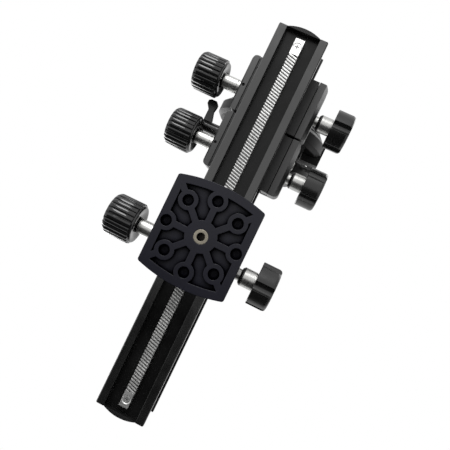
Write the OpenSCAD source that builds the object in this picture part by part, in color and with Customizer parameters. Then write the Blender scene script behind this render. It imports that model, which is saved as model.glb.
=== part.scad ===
// Macro bellows on a rack rail: tripod block, two rack-and-pinion carriages,
// a tilting front standard and a fixed rear standard with a turning camera ring.
// X runs along the rail (lens side at -X), Z is up, and the origin is the mouth
// of the tripod thread in the middle of the foot pad.

/* [Rail] */
// Length of the rail
rail_l = 280; // [256:1:320]
// Distance from the tripod thread to the middle of the rail, along the rail
rail_x = 11; // [6:0.5:14]
// Height of the rail's underside above the pad's face
rail_base_z = 18; // [17.5:0.1:20]
// Height of the rail's section
rail_h = 28; // [26:0.5:32]
// Width of the lower flange
lower_flange_w = 35.5; // [34.5:0.1:36]
// Width of the upper flange without its scale strip
upper_flange_w = 32.5; // [31.5:0.1:33.5]
// Width of the web between the flanges
web_w = 25.5; // [25:0.1:27]
// Depth of each flange, from its face to the web
flange_depth = 8; // [7.6:0.1:8.4]
// Width of the channel in each face
channel_w = 24.1; // [20:0.1:25]
// Depth of the channel in each face
channel_depth = 5.2; // [4.6:0.1:5.6]
// Width of the hollow core
core_w = 18; // [12:0.5:20]
// Height of the hollow core
core_h = 10; // [8:0.5:11]
// Thickness of the rounded edge on the rail's faces
rail_edge = 0.6; // [0.3:0.1:0.8]
// Height of the scale strip on the upper flange
strip_h = 3; // [2:0.1:3]
// How far the scale strip stops short of each rail end
strip_short = 1; // [0.5:0.5:20]

/* [Racks and pinions] */
// Width of each rack
rack_w = 6.4; // [5:0.1:8]
// Depth of the tooth tips below the rail's face
rack_recess = 0.8; // [0.4:0.1:1.2]
// Distance from one tooth to the next, along the rail
tooth_pitch = 2.05; // [1.95:0.05:2.15]
// Slant of the rack teeth in degrees
tooth_slant = 15; // [5:1:20]
// Distance from each rail end to the rack
rack_short = 5; // [3:0.5:9]
// Length of the plain end of each rack
rack_plain = 11; // [9:0.5:16]
// Head diameter of the rack screws
rack_screw_d = 5.2; // [4.4:0.1:5.8]
// Number of teeth on each pinion
pinion_teeth = 14; // [14:1:15]
// Diameter of the pinion shafts
shaft_d = 4.6; // [3.6:0.1:4.8]
// Play between the teeth in mesh
backlash = 0.2; // [0.16:0.01:0.3]

/* [Tripod block and pad] */
// Length and width of the square foot pad
pad_w = 60; // [58:0.5:66]
// How far each end of the pad bulges beyond the square
pad_bulge = 4.5; // [1:0.5:6]
// Thickness of the rubber pad
pad_t = 3.2; // [2.8:0.1:4]
// Depth of the recesses between the pad's ribs
pad_recess = 2; // [0.8:0.1:2.2]
// Radius of the circle that the pad's pockets lie on
pad_pocket_r = 24.4; // [23:0.1:25]
// Diameter of the pad's pockets
pad_pocket_d = 7.4; // [5:0.1:8]
// Length of the tripod block along the rail
block_l = 56; // [50:0.5:58]
// Distance from the tripod thread to the block's pinion, along the rail
block_pinion_back = 11.5; // [11.5:0.1:14]
// Outer diameter of the threaded tripod bush
bush_d = 9.4; // [8:0.1:9.8]
// Inner diameter of the tripod thread
tripod_hole_d = 5.2; // [5:0.1:5.5]
// Depth of the tripod thread
tripod_hole_l = 9; // [6:0.5:9.5]

/* [Carriages] */
// Length of each carriage along the rail
carriage_l = 42.6; // [42:0.1:46]
// Distance from the tripod thread to the front carriage
carriage_x = 45.9; // [40:0.1:46]
// Gap between the two carriages when they are pushed together
carriage_gap = 1.4; // [0.3:0.1:2]
// Height of each carriage body above the rail's face
carriage_over = 11; // [10.6:0.1:13]
// Wall outside the fixed gib
wall_fixed = 5.1; // [3.4:0.1:5.4]
// Wall outside the clamp jaw
wall_jaw = 4.85; // [4.4:0.05:5.4]
// How far the carriage wall flares out above the clamp jaw
flare = 2.6; // [1:0.1:3]
// Width of the gib and of the clamp jaw
gib_t = 4.6; // [4.2:0.1:5]
// Travel of the clamp jaw between free and locked
jaw_travel = 0.3; // [0.2:0.05:0.4]

/* [Knobs] */
// Diameter of the focus knobs
focus_d = 28.8; // [24:0.1:29.2]
// Length of the focus knobs
focus_l = 20.4; // [14:0.1:22]
// Distance from the rail's middle plane to the focus knobs
focus_y = 42.3; // [41:0.1:46]
// Number of ribs on a focus knob
focus_ribs = 24; // [16:1:26]
// Depth of the grooves between those ribs
focus_groove = 0.9; // [0.4:0.1:1.2]
// Diameter of the chrome sleeves
sleeve_d = 10.5; // [9:0.1:11]
// Diameter of the star lock knobs
star_d = 29; // [25:0.1:29]
// Thickness of the star lock knobs
star_t = 13.2; // [10:0.1:15]
// Number of lobes on a star lock knob
star_lobes = 5; // [4:1:7]
// Diameter of the scallops between the lobes
scallop_d = 7; // [5:0.1:9]
// Diameter of the chrome hub of a lock knob
hub_d = 12.6; // [10:0.1:13]
// Length of the chrome hub of a lock knob
hub_l = 8.2; // [6:0.1:10]
// Diameter of the lock screws
stud_d = 5; // [4:0.1:5.4]
// Distance from the carriage wall to the hub's collar
neck_l = 2.35; // [1.5:0.05:3]
// Distance from the block's wall to the hub's collar
block_neck_l = 3.75; // [3:0.05:5]

/* [Standards] */
// Room between the round frames and the top of the carriages
frame_clear = 0.8; // [0.6:0.1:6]
// Width of each round frame beside its square recess
frame_side = 15.2; // [13:0.1:18]
// Thickness of the round frames along the rail
frame_t = 13.8; // [12.6:0.1:14]
// Distance from the front carriage's rear end to the front frame
front_frame_back = 18.3; // [18:0.1:20]
// Distance from the rear carriage's front end to the rear frame
rear_frame_in = 5.7; // [3:0.1:8]
// Size of the chamfer on the frames' outer edges
frame_chamfer = 3; // [1:0.1:3.5]
// Thickness of each frame's web
frame_web = 4.8; // [4.4:0.1:5.2]
// Room between the bellows and the walls of that recess
recess_clear = 1.6; // [1.6:0.1:2.6]
// Height of the tilt axis above the bracket's base plate
tilt_over = 6; // [5.9:0.1:8]
// Thickness of the bracket's base plate
bracket_t = 3; // [2.4:0.1:4]
// Diameter of the tilt bolt
tilt_bolt_d = 5; // [4:0.1:5.4]
// Diameter of the lens thread
lens_thread_d = 41; // [38:0.5:44]
// Length of the lens ring in front of the frame
lens_ring_l = 9; // [7:0.5:12]
// Width of the lens ring's flange outside the lens thread
lens_flange_w = 12.5; // [11:0.1:14]
// Length of the camera ring behind the frame
camera_ring_l = 11.6; // [9:0.1:14]
// Step from the round frame's rim in to the camera ring
camera_step = 4.2; // [3.4:0.1:6]
// Thickness of the camera ring's spigot
spigot_wall = 5; // [4:0.1:6]

/* [Bellows] */
// Width of the bellows over its folds
bellows_w = 60.8; // [56:0.1:64]
// Depth of each fold
fold_depth = 9; // [6:0.1:10]
// Number of folds
folds = 10; // [8:1:11]
// Radial thickness of the folded cloth
cloth_t = 3.2; // [2.6:0.1:4]

/* [Hidden] */

// Smoothness of round surfaces
$fn = 72;
// Overrun of every cut
cut = 1;
// Running fit of slides and shafts, and gap of pressed or screwed seats
slide_fit = 0.05;
seat_fit = 0.02;
// Room between a moving piece and a wall that it doesn't touch
room = 0.3;

// Rail section, measured from its middle plane out to either face
rail_mid_z = rail_base_z + rail_h / 2;
face_h = rail_h / 2;
grip_h = face_h - flange_depth;
lower_edge_h = grip_h + (lower_flange_w - web_w) / 2;
upper_edge_h = grip_h + (upper_flange_w - web_w) / 2;
rail_x0 = rail_x - rail_l / 2;
rail_x1 = rail_x + rail_l / 2;
core_corner = core_h / 5;
flange_half = max(lower_flange_w, upper_flange_w) / 2;
rail_corner_r = 0.9;

// Rack teeth: the profile is cut square to the slanted teeth
rack_l = rail_l - 2 * rack_short;
rack_h = channel_depth - rack_recess;
tooth_module = tooth_pitch / PI;
addendum = tooth_module;
dedendum_ratio = 1.25;
dedendum = dedendum_ratio * tooth_module;
across_pitch = tooth_pitch * cos(tooth_slant);
pressure = 25;
across_pressure = atan(tan(pressure) * cos(tooth_slant));
rack_teeth = floor((rack_l - 2 * rack_plain) / 2 / tooth_pitch) + 3;
pitch_r = pinion_teeth * tooth_module / 2;
tip_r = pitch_r + addendum;
root_r = pitch_r - dedendum;
base_r = pitch_r * cos(pressure);
pinion_w = rack_w + 2 * room;
axis_over = pitch_r - rack_recess - addendum;
axis_h = face_h + axis_over;
mesh_angle = tan(tooth_slant) * pinion_w / pitch_r * 180 / PI;
rack_screw_hole_d = rack_screw_d * 0.55;
rack_screw_l = rack_h * 1.3;
rack_screw_head_h = rack_screw_d / 4;
rack_screw_sunk = 0.4;

// Grip of the block and of the carriages round the rail's dovetails
gib_in = lower_flange_w / 2 + room;
gib_out = gib_in + gib_t;
split_gap = 0.4;
fixed_pocket = gib_out + split_gap;
jaw_out = gib_out + jaw_travel;
jaw_pocket = jaw_out + split_gap;
fixed_wall_y = fixed_pocket + wall_fixed;
jaw_wall_y = jaw_pocket + wall_jaw;
lip_blunt = 0.85;
gib_top_h = face_h + room;
jaw_top_h = axis_h + stud_d / 2 + 1.6 * room + rack_recess;
grip_edge = 1.2;
plan_r = 3.6;
flare_h = 2 * flare;

// Places along the rail
block_x0 = -block_l / 2;
block_axis_x = -block_pinion_back;
front_x0 = carriage_x;
rear_x0 = front_x0 + carriage_l + carriage_gap;
front_axis_share = 0.413;
rear_axis_share = 0.4507;
front_axis_x = front_x0 + front_axis_share * carriage_l;
rear_axis_x = rear_x0 + rear_axis_share * carriage_l;
block_h = rail_mid_z - pad_t;
carriage_h = face_h + carriage_over;
carriage_top_z = rail_mid_z + carriage_h;

// Sleeves, screws and lock knobs
sleeve_in = fixed_wall_y - wall_fixed + room / 2;
shaft_end = rack_w + shaft_d;
grub_d = 2.2;
grub_sunk = 1.6;
grub_y = fixed_wall_y - wall_fixed / 2;
gib_screw_d = 2.4;
gib_screw_y = (gib_in + gib_out) / 2;
gib_screw_step = 14;
collar_t = 2.2;
neck_d = 8;
spigot_d = 8;
star_turn = 20;
front_star_turn = star_turn + 180 / star_lobes;
bush_floor = 2;
tripod_bush_l = tripod_hole_l + bush_floor;

// Standards
recess_w = bellows_w + 2 * recess_clear;
frame_d = recess_w + 2 * frame_side;
optical_z = carriage_top_z + frame_d / 2 + frame_clear;
bracket_z = carriage_top_z + bracket_t;
tilt_z = bracket_z + tilt_over;
barrel_r = tilt_over - room - seat_fit;
front_frame_x0 = front_x0 + carriage_l - front_frame_back;
front_frame_x1 = front_frame_x0 + frame_t;
tilt_in = 6;
tilt_x = front_frame_x0 + tilt_in;
ear_in = 20.5;
ear_out = 27.5;
ear_r = tilt_over * 11 / 12;
rear_frame_x0 = rear_x0 + rear_frame_in;
rear_frame_x1 = rear_frame_x0 + frame_t;
recess_cut = recess_w * 0.14;
spigot_r = recess_w * 7 / 16;
retainer_step = 2;
lens_spigot_wall = 5.5;
lens_spigot_r = lens_thread_d / 2 + lens_spigot_wall;
lens_ring_d = lens_thread_d + 2 * lens_flange_w;
rear_foot_w = 44;
rear_base_t = 3.5;
rear_base_r = 1.8;
bellows_plate_t = 1;
bellows_rim_t = 0.8;
front_web_x = front_frame_x0 + frame_web;
rear_web_x = rear_frame_x1 - frame_web;
retainer_t = 2.3;
thumb_shank_d = 3;
thumb_head_d = 5.6;
thumb_drop = recess_w / 2 - thumb_shank_d;
thumb_z = optical_z - thumb_drop;
front_thumb_y = frame_d * 0.425;
front_thumb_head_l = 10.7;
top_thumb_head_l = 7;
ring_thumb_head_l = 8;
bellows_x0 = front_web_x + slide_fit + bellows_plate_t + room;
bellows_x1 = rear_web_x - slide_fit - retainer_t - room - bellows_plate_t - room;

// Helpers

// Stands the children on the rail's middle plane, for the upper side
module on_upper() {
    translate([0, 0, rail_mid_z])
        children();
}

// The same on the lower side, upside down
module on_lower() {
    translate([0, 0, rail_mid_z])
        mirror([0, 0, 1])
            children();
}

// Extrudes a Y-Z outline along X from x0 by l
module along_x(x0, l) {
    translate([x0, 0, 0])
        rotate([90, 0, 90])
            linear_extrude(height = l)
                children();
}

// A cylinder along Y from y0 to y1 at x, z
module rod_y(x, z, y0, y1, d) {
    translate([x, y1, z])
        rotate([90, 0, 0])
            cylinder(h = y1 - y0, d = d);
}

// A cylinder along X from x0 to x1 on the optical axis
module disc_x(x0, x1, d) {
    translate([x0, 0, optical_z])
        rotate([0, 90, 0])
            cylinder(h = x1 - x0, d = d);
}

// A solid of revolution round the optical axis; the outline holds radius and distance along X
module turned_x() {
    translate([0, 0, optical_z])
        rotate([0, 90, 0])
            rotate_extrude($fn = 120)
                children();
}

// A block given by its two corners
module span(a, b) {
    translate(a)
        cube(b - a);
}

// An upright block with round corners
module round_block(x0, x1, y0, y1, z0, z1, r) {
    span([x0 + r, y0, z0], [x1 - r, y1, z1]);
    span([x0, y0 + r, z0], [x1, y1 - r, z1]);
    for (x = [x0 + r, x1 - r], y = [y0 + r, y1 - r])
        translate([x, y, z0])
            cylinder(h = z1 - z0, r = r);
}

// Square with cut corners, as points in Y and Z about the optical axis
function cut_square(w, c) = let (a = w / 2, b = w / 2 - c) [
    [a, -b], [a, b], [b, a], [-b, a], [-a, b], [-a, -b], [-b, -a], [b, -a]
];

// A prism with that outline along X
module square_x(x0, x1, w, c) {
    along_x(x0, x1 - x0)
        translate([0, optical_z])
            polygon(cut_square(w, c));
}

// Rail and racks

module rail() {
    color([0.12, 0.12, 0.125])
    difference() {
        intersection() {
            along_x(rail_x0, rail_l)
                translate([0, rail_mid_z])
                    polygon([
                        [-lower_flange_w / 2 + rail_edge, -face_h],
                        [lower_flange_w / 2 - rail_edge, -face_h],
                        [lower_flange_w / 2, -face_h + rail_edge],
                        [lower_flange_w / 2, -lower_edge_h],
                        [web_w / 2, -grip_h],
                        [web_w / 2, grip_h],
                        [upper_flange_w / 2, upper_edge_h],
                        [upper_flange_w / 2, face_h],
                        [-upper_flange_w / 2 + rail_edge, face_h],
                        [-upper_flange_w / 2, face_h - rail_edge],
                        [-upper_flange_w / 2, upper_edge_h],
                        [-web_w / 2, grip_h],
                        [-web_w / 2, -grip_h],
                        [-lower_flange_w / 2, -lower_edge_h],
                        [-lower_flange_w / 2, -face_h + rail_edge]
                    ]);
            round_block(rail_x0, rail_x1, -flange_half, flange_half,
                        rail_mid_z - face_h - cut, rail_mid_z + face_h + cut, rail_corner_r);
        }
        for (side = [-1, 1])
            translate([0, 0, rail_mid_z + side * (face_h - channel_depth / 2 + cut / 2)])
                translate([rail_x, 0, 0])
                    cube([rail_l + 2 * cut, channel_w, channel_depth + cut], center = true);
        along_x(rail_x0 - cut, rail_l + 2 * cut)
            translate([0, rail_mid_z])
                polygon([
                    [core_w / 2 - core_corner, -core_h / 2], [core_w / 2, core_corner - core_h / 2],
                    [core_w / 2, core_h / 2 - core_corner], [core_w / 2 - core_corner, core_h / 2],
                    [core_corner - core_w / 2, core_h / 2], [-core_w / 2, core_h / 2 - core_corner],
                    [-core_w / 2, core_corner - core_h / 2], [core_corner - core_w / 2, -core_h / 2]
                ]);
        for (side = [-1, 1])
            translate([0, 0, rail_mid_z])
                rack_screw_places()
                    cylinder(h = face_h * 2, d = rack_screw_hole_d + 2 * slide_fit, center = true);
    }
}

// Places of the rack screws, at both ends of a rack
module rack_screw_places() {
    for (side = [-1, 1])
        translate([rail_x + side * (rack_l / 2 - rack_plain / 2), 0, 0])
            children();
}

// One rack with its teeth up, standing on its channel's floor
module rack() {
    root_z = rack_h - addendum - dedendum;
    tip_half = across_pitch / 4 - addendum * tan(across_pressure);
    root_half = across_pitch / 4 + dedendum * tan(across_pressure);
    toothed = rack_l - 2 * rack_plain;
    difference() {
        union() {
            translate([rail_x, 0, root_z / 2])
                cube([rack_l, rack_w, root_z], center = true);
            for (side = [-1, 1])
                translate([rail_x + side * (rack_l - rack_plain) / 2, 0, rack_h / 2])
                    cube([rack_plain, rack_w, rack_h], center = true);
            intersection() {
                translate([rail_x, 0, rack_h / 2])
                    cube([toothed, rack_w, rack_h], center = true);
                translate([rail_x, 0, 0])
                    rotate([0, 0, tooth_slant])
                        rotate([90, 0, 0])
                            linear_extrude(height = rack_l * sin(tooth_slant) + 2 * rack_w, center = true)
                                for (i = [-rack_teeth : rack_teeth])
                                    translate([i * across_pitch, 0])
                                        polygon([
                                            [-root_half, root_z - seat_fit], [-root_half, root_z],
                                            [-tip_half, rack_h], [tip_half, rack_h],
                                            [root_half, root_z], [root_half, root_z - seat_fit]
                                        ]);
            }
        }
        rack_screw_places() {
            translate([0, 0, -cut])
                cylinder(h = rack_h + 2 * cut, d = rack_screw_hole_d + 2 * slide_fit);
            translate([0, 0, rack_h - rack_screw_sunk - rack_screw_head_h])
                cylinder(h = rack_screw_head_h + rack_screw_sunk + seat_fit,
                         d1 = rack_screw_hole_d + 2 * slide_fit,
                         d2 = rack_screw_d + 2 * slide_fit + (rack_screw_d - rack_screw_hole_d)
                             * (rack_screw_sunk + seat_fit) / rack_screw_head_h);
        }
    }
}

// Puts a piece that stands on the channel's floor there
module in_upper_channel() {
    translate([0, 0, rail_mid_z + face_h - channel_depth])
        children();
}

module in_lower_channel() {
    translate([0, 0, rail_mid_z - face_h + channel_depth])
        mirror([0, 0, 1])
            children();
}

module lower_rack() {
    color([0.78, 0.78, 0.78])
        in_lower_channel()
            rack();
}

module upper_rack() {
    color([0.78, 0.78, 0.78])
        in_upper_channel()
            rack();
}

// A countersunk screw with a cross recess, its head's face just below the rack's tips
module rack_screw() {
    difference() {
        union() {
            translate([0, 0, rack_h - rack_screw_l])
                cylinder(h = rack_screw_l - rack_screw_sunk - rack_screw_head_h / 2,
                         d = rack_screw_hole_d);
            translate([0, 0, rack_h - rack_screw_sunk - rack_screw_head_h])
                cylinder(h = rack_screw_head_h, d1 = rack_screw_hole_d, d2 = rack_screw_d);
        }
        for (a = [0, 90])
            rotate([0, 0, a])
                translate([0, 0, rack_h - rack_screw_sunk])
                    cube([rack_screw_d * 0.55, rack_screw_d * 0.14, rack_screw_d * 0.3],
                         center = true);
    }
}

module rack_screws() {
    color([0.7, 0.7, 0.7]) {
        in_lower_channel()
            rack_screw_places()
                rack_screw();
        in_upper_channel()
            rack_screw_places()
                rack_screw();
    }
}

// Rail ends

plug_over = 0.5;
plug_w = channel_w + 2 * plug_over;
plug_h = rail_h - 2;
plug_out = 2.8;
plug_in = 8;
plug_r = (plug_w * plug_w / 4 + plug_out * plug_out) / (2 * plug_out);
plug_screw_d = 4;

// End plug with a tongue in the hollow core and a bulged face, at the rail's +X end
module end_plug() {
    difference() {
        union() {
            intersection() {
                translate([plug_out - plug_r, 0, 0])
                    cylinder(h = plug_h, r = plug_r, center = true, $fn = 120);
                translate([plug_r / 2 + slide_fit, 0, 0])
                    cube([plug_r, plug_w, plug_h], center = true);
            }
            translate([(slide_fit - plug_in) / 2 + slide_fit, 0, 0])
                cube([plug_in + slide_fit, core_w - 2 * core_corner, core_h - 2 * slide_fit],
                     center = true);
        }
        translate([plug_out - plug_screw_d / 4, 0, 0])
            rotate([0, 90, 0])
                cylinder(h = plug_out, d = plug_screw_d + 2 * slide_fit);
        translate([-plug_in / 2, 0, 0])
            rotate([0, 90, 0])
                cylinder(h = plug_in, d = plug_screw_d / 2 + 2 * slide_fit);
    }
}

module plug_screw() {
    translate([plug_out - plug_screw_d / 4 + slide_fit, 0, 0])
        rotate([0, 90, 0])
            difference() {
                cylinder(h = plug_screw_d / 8, d = plug_screw_d);
                for (a = [0, 90])
                    rotate([0, 0, a])
                        cube([plug_screw_d * 0.6, plug_screw_d * 0.16, plug_screw_d],
                             center = true);
            }
    translate([-plug_in / 4, 0, 0])
        rotate([0, 90, 0])
            cylinder(h = plug_in / 4 + plug_out - plug_screw_d / 4 + 2 * slide_fit,
                     d = plug_screw_d / 2);
}

module at_front_end() {
    translate([rail_x0, 0, rail_mid_z])
        mirror([1, 0, 0])
            children();
}

module at_rear_end() {
    translate([rail_x1, 0, rail_mid_z])
        children();
}

module front_end_plug() {
    color([0.08, 0.08, 0.08])
        at_front_end()
            end_plug();
}

module rear_end_plug() {
    color([0.08, 0.08, 0.08])
        at_rear_end()
            end_plug();
}

module end_plug_screws() {
    color([0.5, 0.5, 0.5]) {
        at_front_end()
            plug_screw();
        at_rear_end()
            plug_screw();
    }
}

module scale_strip() {
    color([0.2, 0.2, 0.2])
        span([rail_x0 + strip_short, upper_flange_w / 2 + seat_fit, rail_mid_z + face_h - strip_h],
             [rail_x1 - strip_short, lower_flange_w / 2, rail_mid_z + face_h]);
}

// Grip: fixed gib, clamp jaw and the body round them

// Outline of a gib on the +Y side, with clearance c to the dovetail and its top at h
module grip_outline(c, shift, top) {
    drop = c * sqrt(2);
    lip_y = web_w / 2 + lip_blunt;
    translate([shift, 0])
        polygon([
            [lip_y, grip_h], [lip_y, grip_h + lip_blunt - drop],
            [gib_in, grip_h + gib_in - web_w / 2 - drop], [gib_in, top],
            [gib_out, top], [gib_out, grip_h]
        ]);
}

// Places of the gib screws about the pinion's axis
module gib_screw_places(axis_x) {
    for (side = [-1, 1])
        translate([axis_x + side * gib_screw_step, -gib_screw_y, 0])
            children();
}

module gib(x0, l, axis_x) {
    difference() {
        mirror([0, 1, 0])
            along_x(x0 + room, l - 2 * room)
                grip_outline(slide_fit, 0, gib_top_h);
        gib_screw_places(axis_x) {
            translate([0, 0, grip_h - cut])
                cylinder(h = rail_h, d = gib_screw_d + 2 * slide_fit);
            translate([0, 0, grip_h - cut])
                cylinder(h = cut + gib_screw_d, d = 1.6 * gib_screw_d + 2 * slide_fit);
        }
    }
}

module jaw(x0, l) {
    along_x(x0 + room, l - 2 * room)
        grip_outline(slide_fit, jaw_travel, jaw_top_h);
}

// Screws of one grip: a grub screw for the sleeve and two gib screws
module grip_screws(axis_x) {
    translate([axis_x, -grub_y, grip_h + grub_sunk])
        difference() {
            cylinder(h = axis_h - sleeve_d / 2 - grip_h - grub_sunk - room, d = grub_d);
            translate([0, 0, -cut])
                cylinder(h = cut + grub_d / 2, d = grub_d / 2, $fn = 6);
        }
    gib_screw_places(axis_x)
        translate([0, 0, grip_h + room])
            difference() {
                union() {
                    cylinder(h = gib_screw_d - room, d = 1.6 * gib_screw_d);
                    cylinder(h = gib_top_h + gib_screw_d - grip_h, d = gib_screw_d);
                }
                translate([0, 0, -cut])
                    cylinder(h = cut + gib_screw_d / 2, d = 0.8 * gib_screw_d, $fn = 6);
            }
}

// Body that holds a gib, a jaw and a pinion; top is its height above the rail's middle plane
module grip_body(x0, l, top, axis_x, out, out_h) {
    difference() {
        intersection() {
            along_x(x0, l)
                polygon([
                    [grip_edge - fixed_wall_y, grip_h], [jaw_wall_y, grip_h],
                    [jaw_wall_y + out, grip_h + out_h], [jaw_wall_y + out, top - grip_edge],
                    [jaw_wall_y + out - grip_edge, top], [grip_edge - fixed_wall_y, top],
                    [-fixed_wall_y, top - grip_edge], [-fixed_wall_y, grip_h + grip_edge]
                ]);
            round_block(x0, x0 + l, -fixed_wall_y, jaw_wall_y + out, 0, top, plan_r);
        }
        span([x0 - cut, -gib_in, grip_h - cut], [x0 + l + cut, gib_in, face_h + slide_fit]);
        span([x0 - cut, -fixed_pocket, grip_h - cut], [x0 + l + cut, 0, gib_top_h + slide_fit]);
        span([x0 - cut, gib_in - room, grip_h - cut],
             [x0 + l + cut, jaw_pocket, jaw_top_h + room]);
        rod_y(axis_x, axis_h, -pinion_w / 2 - room, pinion_w / 2 + room, 2 * (tip_r + room));
        rod_y(axis_x, axis_h, -fixed_wall_y - cut, shaft_end + room, shaft_d + 2 * slide_fit);
        rod_y(axis_x, axis_h, -fixed_wall_y - cut, -sleeve_in, sleeve_d + 2 * seat_fit);
        rod_y(axis_x, axis_h, jaw_pocket - cut, jaw_wall_y + out + cut, stud_d + 2 * slide_fit);
        translate([axis_x, -grub_y, grip_h - cut])
            cylinder(h = axis_h - grip_h, d = grub_d + 2 * slide_fit);
        gib_screw_places(axis_x)
            translate([0, 0, grip_h])
                cylinder(h = gib_top_h + 2 * gib_screw_d - grip_h, d = gib_screw_d + 2 * slide_fit);
    }
}

// Chrome sleeve pressed into the body, with a groove round it
module sleeve(axis_x) {
    y0 = -focus_y + room;
    groove_y = -fixed_wall_y - sleeve_d * 0.28;
    difference() {
        rod_y(axis_x, axis_h, y0, -sleeve_in - room / 2, sleeve_d);
        rod_y(axis_x, axis_h, y0 - cut, 0, shaft_d + 2 * slide_fit);
        difference() {
            rod_y(axis_x, axis_h, groove_y - room, groove_y + room, sleeve_d + cut);
            rod_y(axis_x, axis_h, groove_y - cut, groove_y + cut, sleeve_d - 4 * room);
        }
    }
}

// Pinions and focus knobs

function involute(r) = let (a = acos(base_r / r)) tan(a) * 180 / PI - a;

// Half the angle that a tooth takes at radius r
function tooth_half(r) = 90 / pinion_teeth - backlash / 2 / pitch_r * 90 / PI
    + involute(pitch_r) - involute(max(r, base_r));

flank_shares = [0, 0.35, 1];

// Pinion section with a gap centred on angle a
module pinion_section(a) {
    pitch_a = 360 / pinion_teeth;
    flank = [for (s = flank_shares) base_r + s * (tip_r - base_r)];
    polygon([
        for (i = [0 : pinion_teeth - 1])
            let (c = a + (i + 0.5) * pitch_a)
                each concat(
                    [root_r * [cos(c - tooth_half(base_r)), sin(c - tooth_half(base_r))]],
                    [for (r = flank) r * [cos(c - tooth_half(r)), sin(c - tooth_half(r))]],
                    [for (k = [2, 1, 0]) flank[k] * [cos(c + tooth_half(flank[k])),
                                                     sin(c + tooth_half(flank[k]))]],
                    [root_r * [cos(c + tooth_half(base_r)), sin(c + tooth_half(base_r))]]
                )
    ]);
}

// Shaft with its helical pinion; side is 1 above a rack and -1 below one
module pinion(axis_x, axis_z, side) {
    ahead = rail_x - axis_x;
    gap_angle = side * (90 - ahead / pitch_r * 180 / PI);
    translate([axis_x, -pinion_w / 2, axis_z])
        rotate([-90, 0, 0])
            linear_extrude(height = pinion_w, twist = -side * mesh_angle, slices = 3)
                rotate(-side * mesh_angle / 2)
                    pinion_section(gap_angle);
    rod_y(axis_x, axis_z, -focus_y - focus_l * 0.6, shaft_end, shaft_d);
}

// Ribbed outline of a focus knob
module ribbed_section(d, ribs, depth) {
    r = d / 2;
    step = 360 / ribs;
    land_shares = [0.06, 0.36, 0.64, 0.94];
    polygon([
        for (i = [0 : ribs - 1])
            each [
                for (k = [0 : 3])
                    let (a = (i + land_shares[k]) * step, dip = (k == 0 || k == 3) ? 0 : 0.3 * depth)
                        (r - dip) * [cos(a), sin(a)],
                (r - depth) * [cos((i + 0.97) * step), sin((i + 0.97) * step)],
                (r - depth) * [cos((i + 1.03) * step), sin((i + 1.03) * step)]
            ]
    ]);
}

// Knob on the -Y side: ribbed rim, chamfered outer edge, stepped and dished inner face
module focus_knob(axis_x, axis_z) {
    r = focus_d / 2;
    edge = focus_d / 24;
    dish = focus_d / 12;
    translate([axis_x, -focus_y, axis_z])
        rotate([90, 0, 0])
            difference() {
                intersection() {
                    linear_extrude(height = focus_l)
                        ribbed_section(focus_d, focus_ribs, focus_groove);
                    rotate_extrude($fn = 96)
                        polygon([
                            [0, 0], [r - 2.2 * edge, 0], [r - 0.8 * edge, 2 * edge],
                            [r + edge, 2 * edge],
                            [r + edge, focus_l - 2 * edge], [r - edge, focus_l], [0, focus_l]
                        ]);
                }
                translate([0, 0, -cut])
                    cylinder(h = focus_l * 0.6 + room + cut, d = shaft_d + 2 * seat_fit);
                rotate_extrude($fn = 96)
                    polygon([
                        [sleeve_d / 2 + room, -cut], [r - 4 * edge, -cut], [r - 4 * edge, 0],
                        [sleeve_d / 2 + dish, dish], [sleeve_d / 2 + room, dish]
                    ]);
                translate([0, 0, focus_l - edge / 2])
                    cylinder(h = edge, r = r - 3 * edge);
            }
}

// Lock knobs

// Chrome screw, neck and hub; wall is the face that the neck stands off, neck its length
module lock_stud(axis_x, axis_z, wall, neck) {
    hub_y = wall + neck + collar_t;
    rod_y(axis_x, axis_z, jaw_out + slide_fit, wall + room, stud_d);
    rod_y(axis_x, axis_z, wall + room, hub_y, neck_d);
    difference() {
        rod_y(axis_x, axis_z, hub_y, hub_y + hub_l, hub_d);
        difference() {
            rod_y(axis_x, axis_z, hub_y + hub_l - 2 * room, hub_y + hub_l + cut, hub_d + cut);
            rod_y(axis_x, axis_z, hub_y, hub_y + hub_l + 2 * cut, hub_d - 2 * room);
        }
    }
    rod_y(axis_x, axis_z, hub_y + hub_l / 2, hub_y + hub_l + star_t * 0.7, spigot_d);
}

// Dark collar in front of the hub, tapered towards the wall
module lock_collar(axis_x, axis_z, wall, neck) {
    translate([axis_x, wall + neck, axis_z])
        rotate([-90, 0, 0])
            difference() {
                union() {
                    cylinder(h = collar_t * 0.6, d1 = hub_d - 1.2 * collar_t, d2 = hub_d);
                    translate([0, 0, collar_t * 0.6])
                        cylinder(h = collar_t * 0.4 - seat_fit, d = hub_d);
                }
                translate([0, 0, -cut])
                    cylinder(h = collar_t + 2 * cut, d = neck_d + 2 * seat_fit);
            }
}

// Star with scalloped lobes and a bevelled outer face
module lock_star(axis_x, axis_z, wall, neck, turn) {
    r = star_d / 2;
    bevel = star_d / 22;
    translate([axis_x, wall + neck + collar_t + hub_l + seat_fit, axis_z])
        rotate([-90, 0, 0])
            difference() {
                rotate_extrude($fn = 96)
                    polygon([
                        [0, 0], [r - bevel / 4, 0], [r, bevel / 4], [r, star_t - 1.4 * bevel],
                        [r - bevel / 3, star_t - bevel / 2], [r - bevel, star_t], [0, star_t]
                    ]);
                for (i = [0 : star_lobes - 1])
                    rotate([0, 0, turn + i * 360 / star_lobes])
                        translate([r + scallop_d * 0.16, 0, -cut])
                            cylinder(h = star_t + 2 * cut, d = scallop_d);
                translate([0, 0, -cut])
                    cylinder(h = star_t * 0.7 + room + cut, d = spigot_d + 2 * seat_fit);
                translate([0, 0, star_t - bevel / 4])
                    cylinder(h = bevel, d = spigot_d);
            }
}

// Tripod block group

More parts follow.
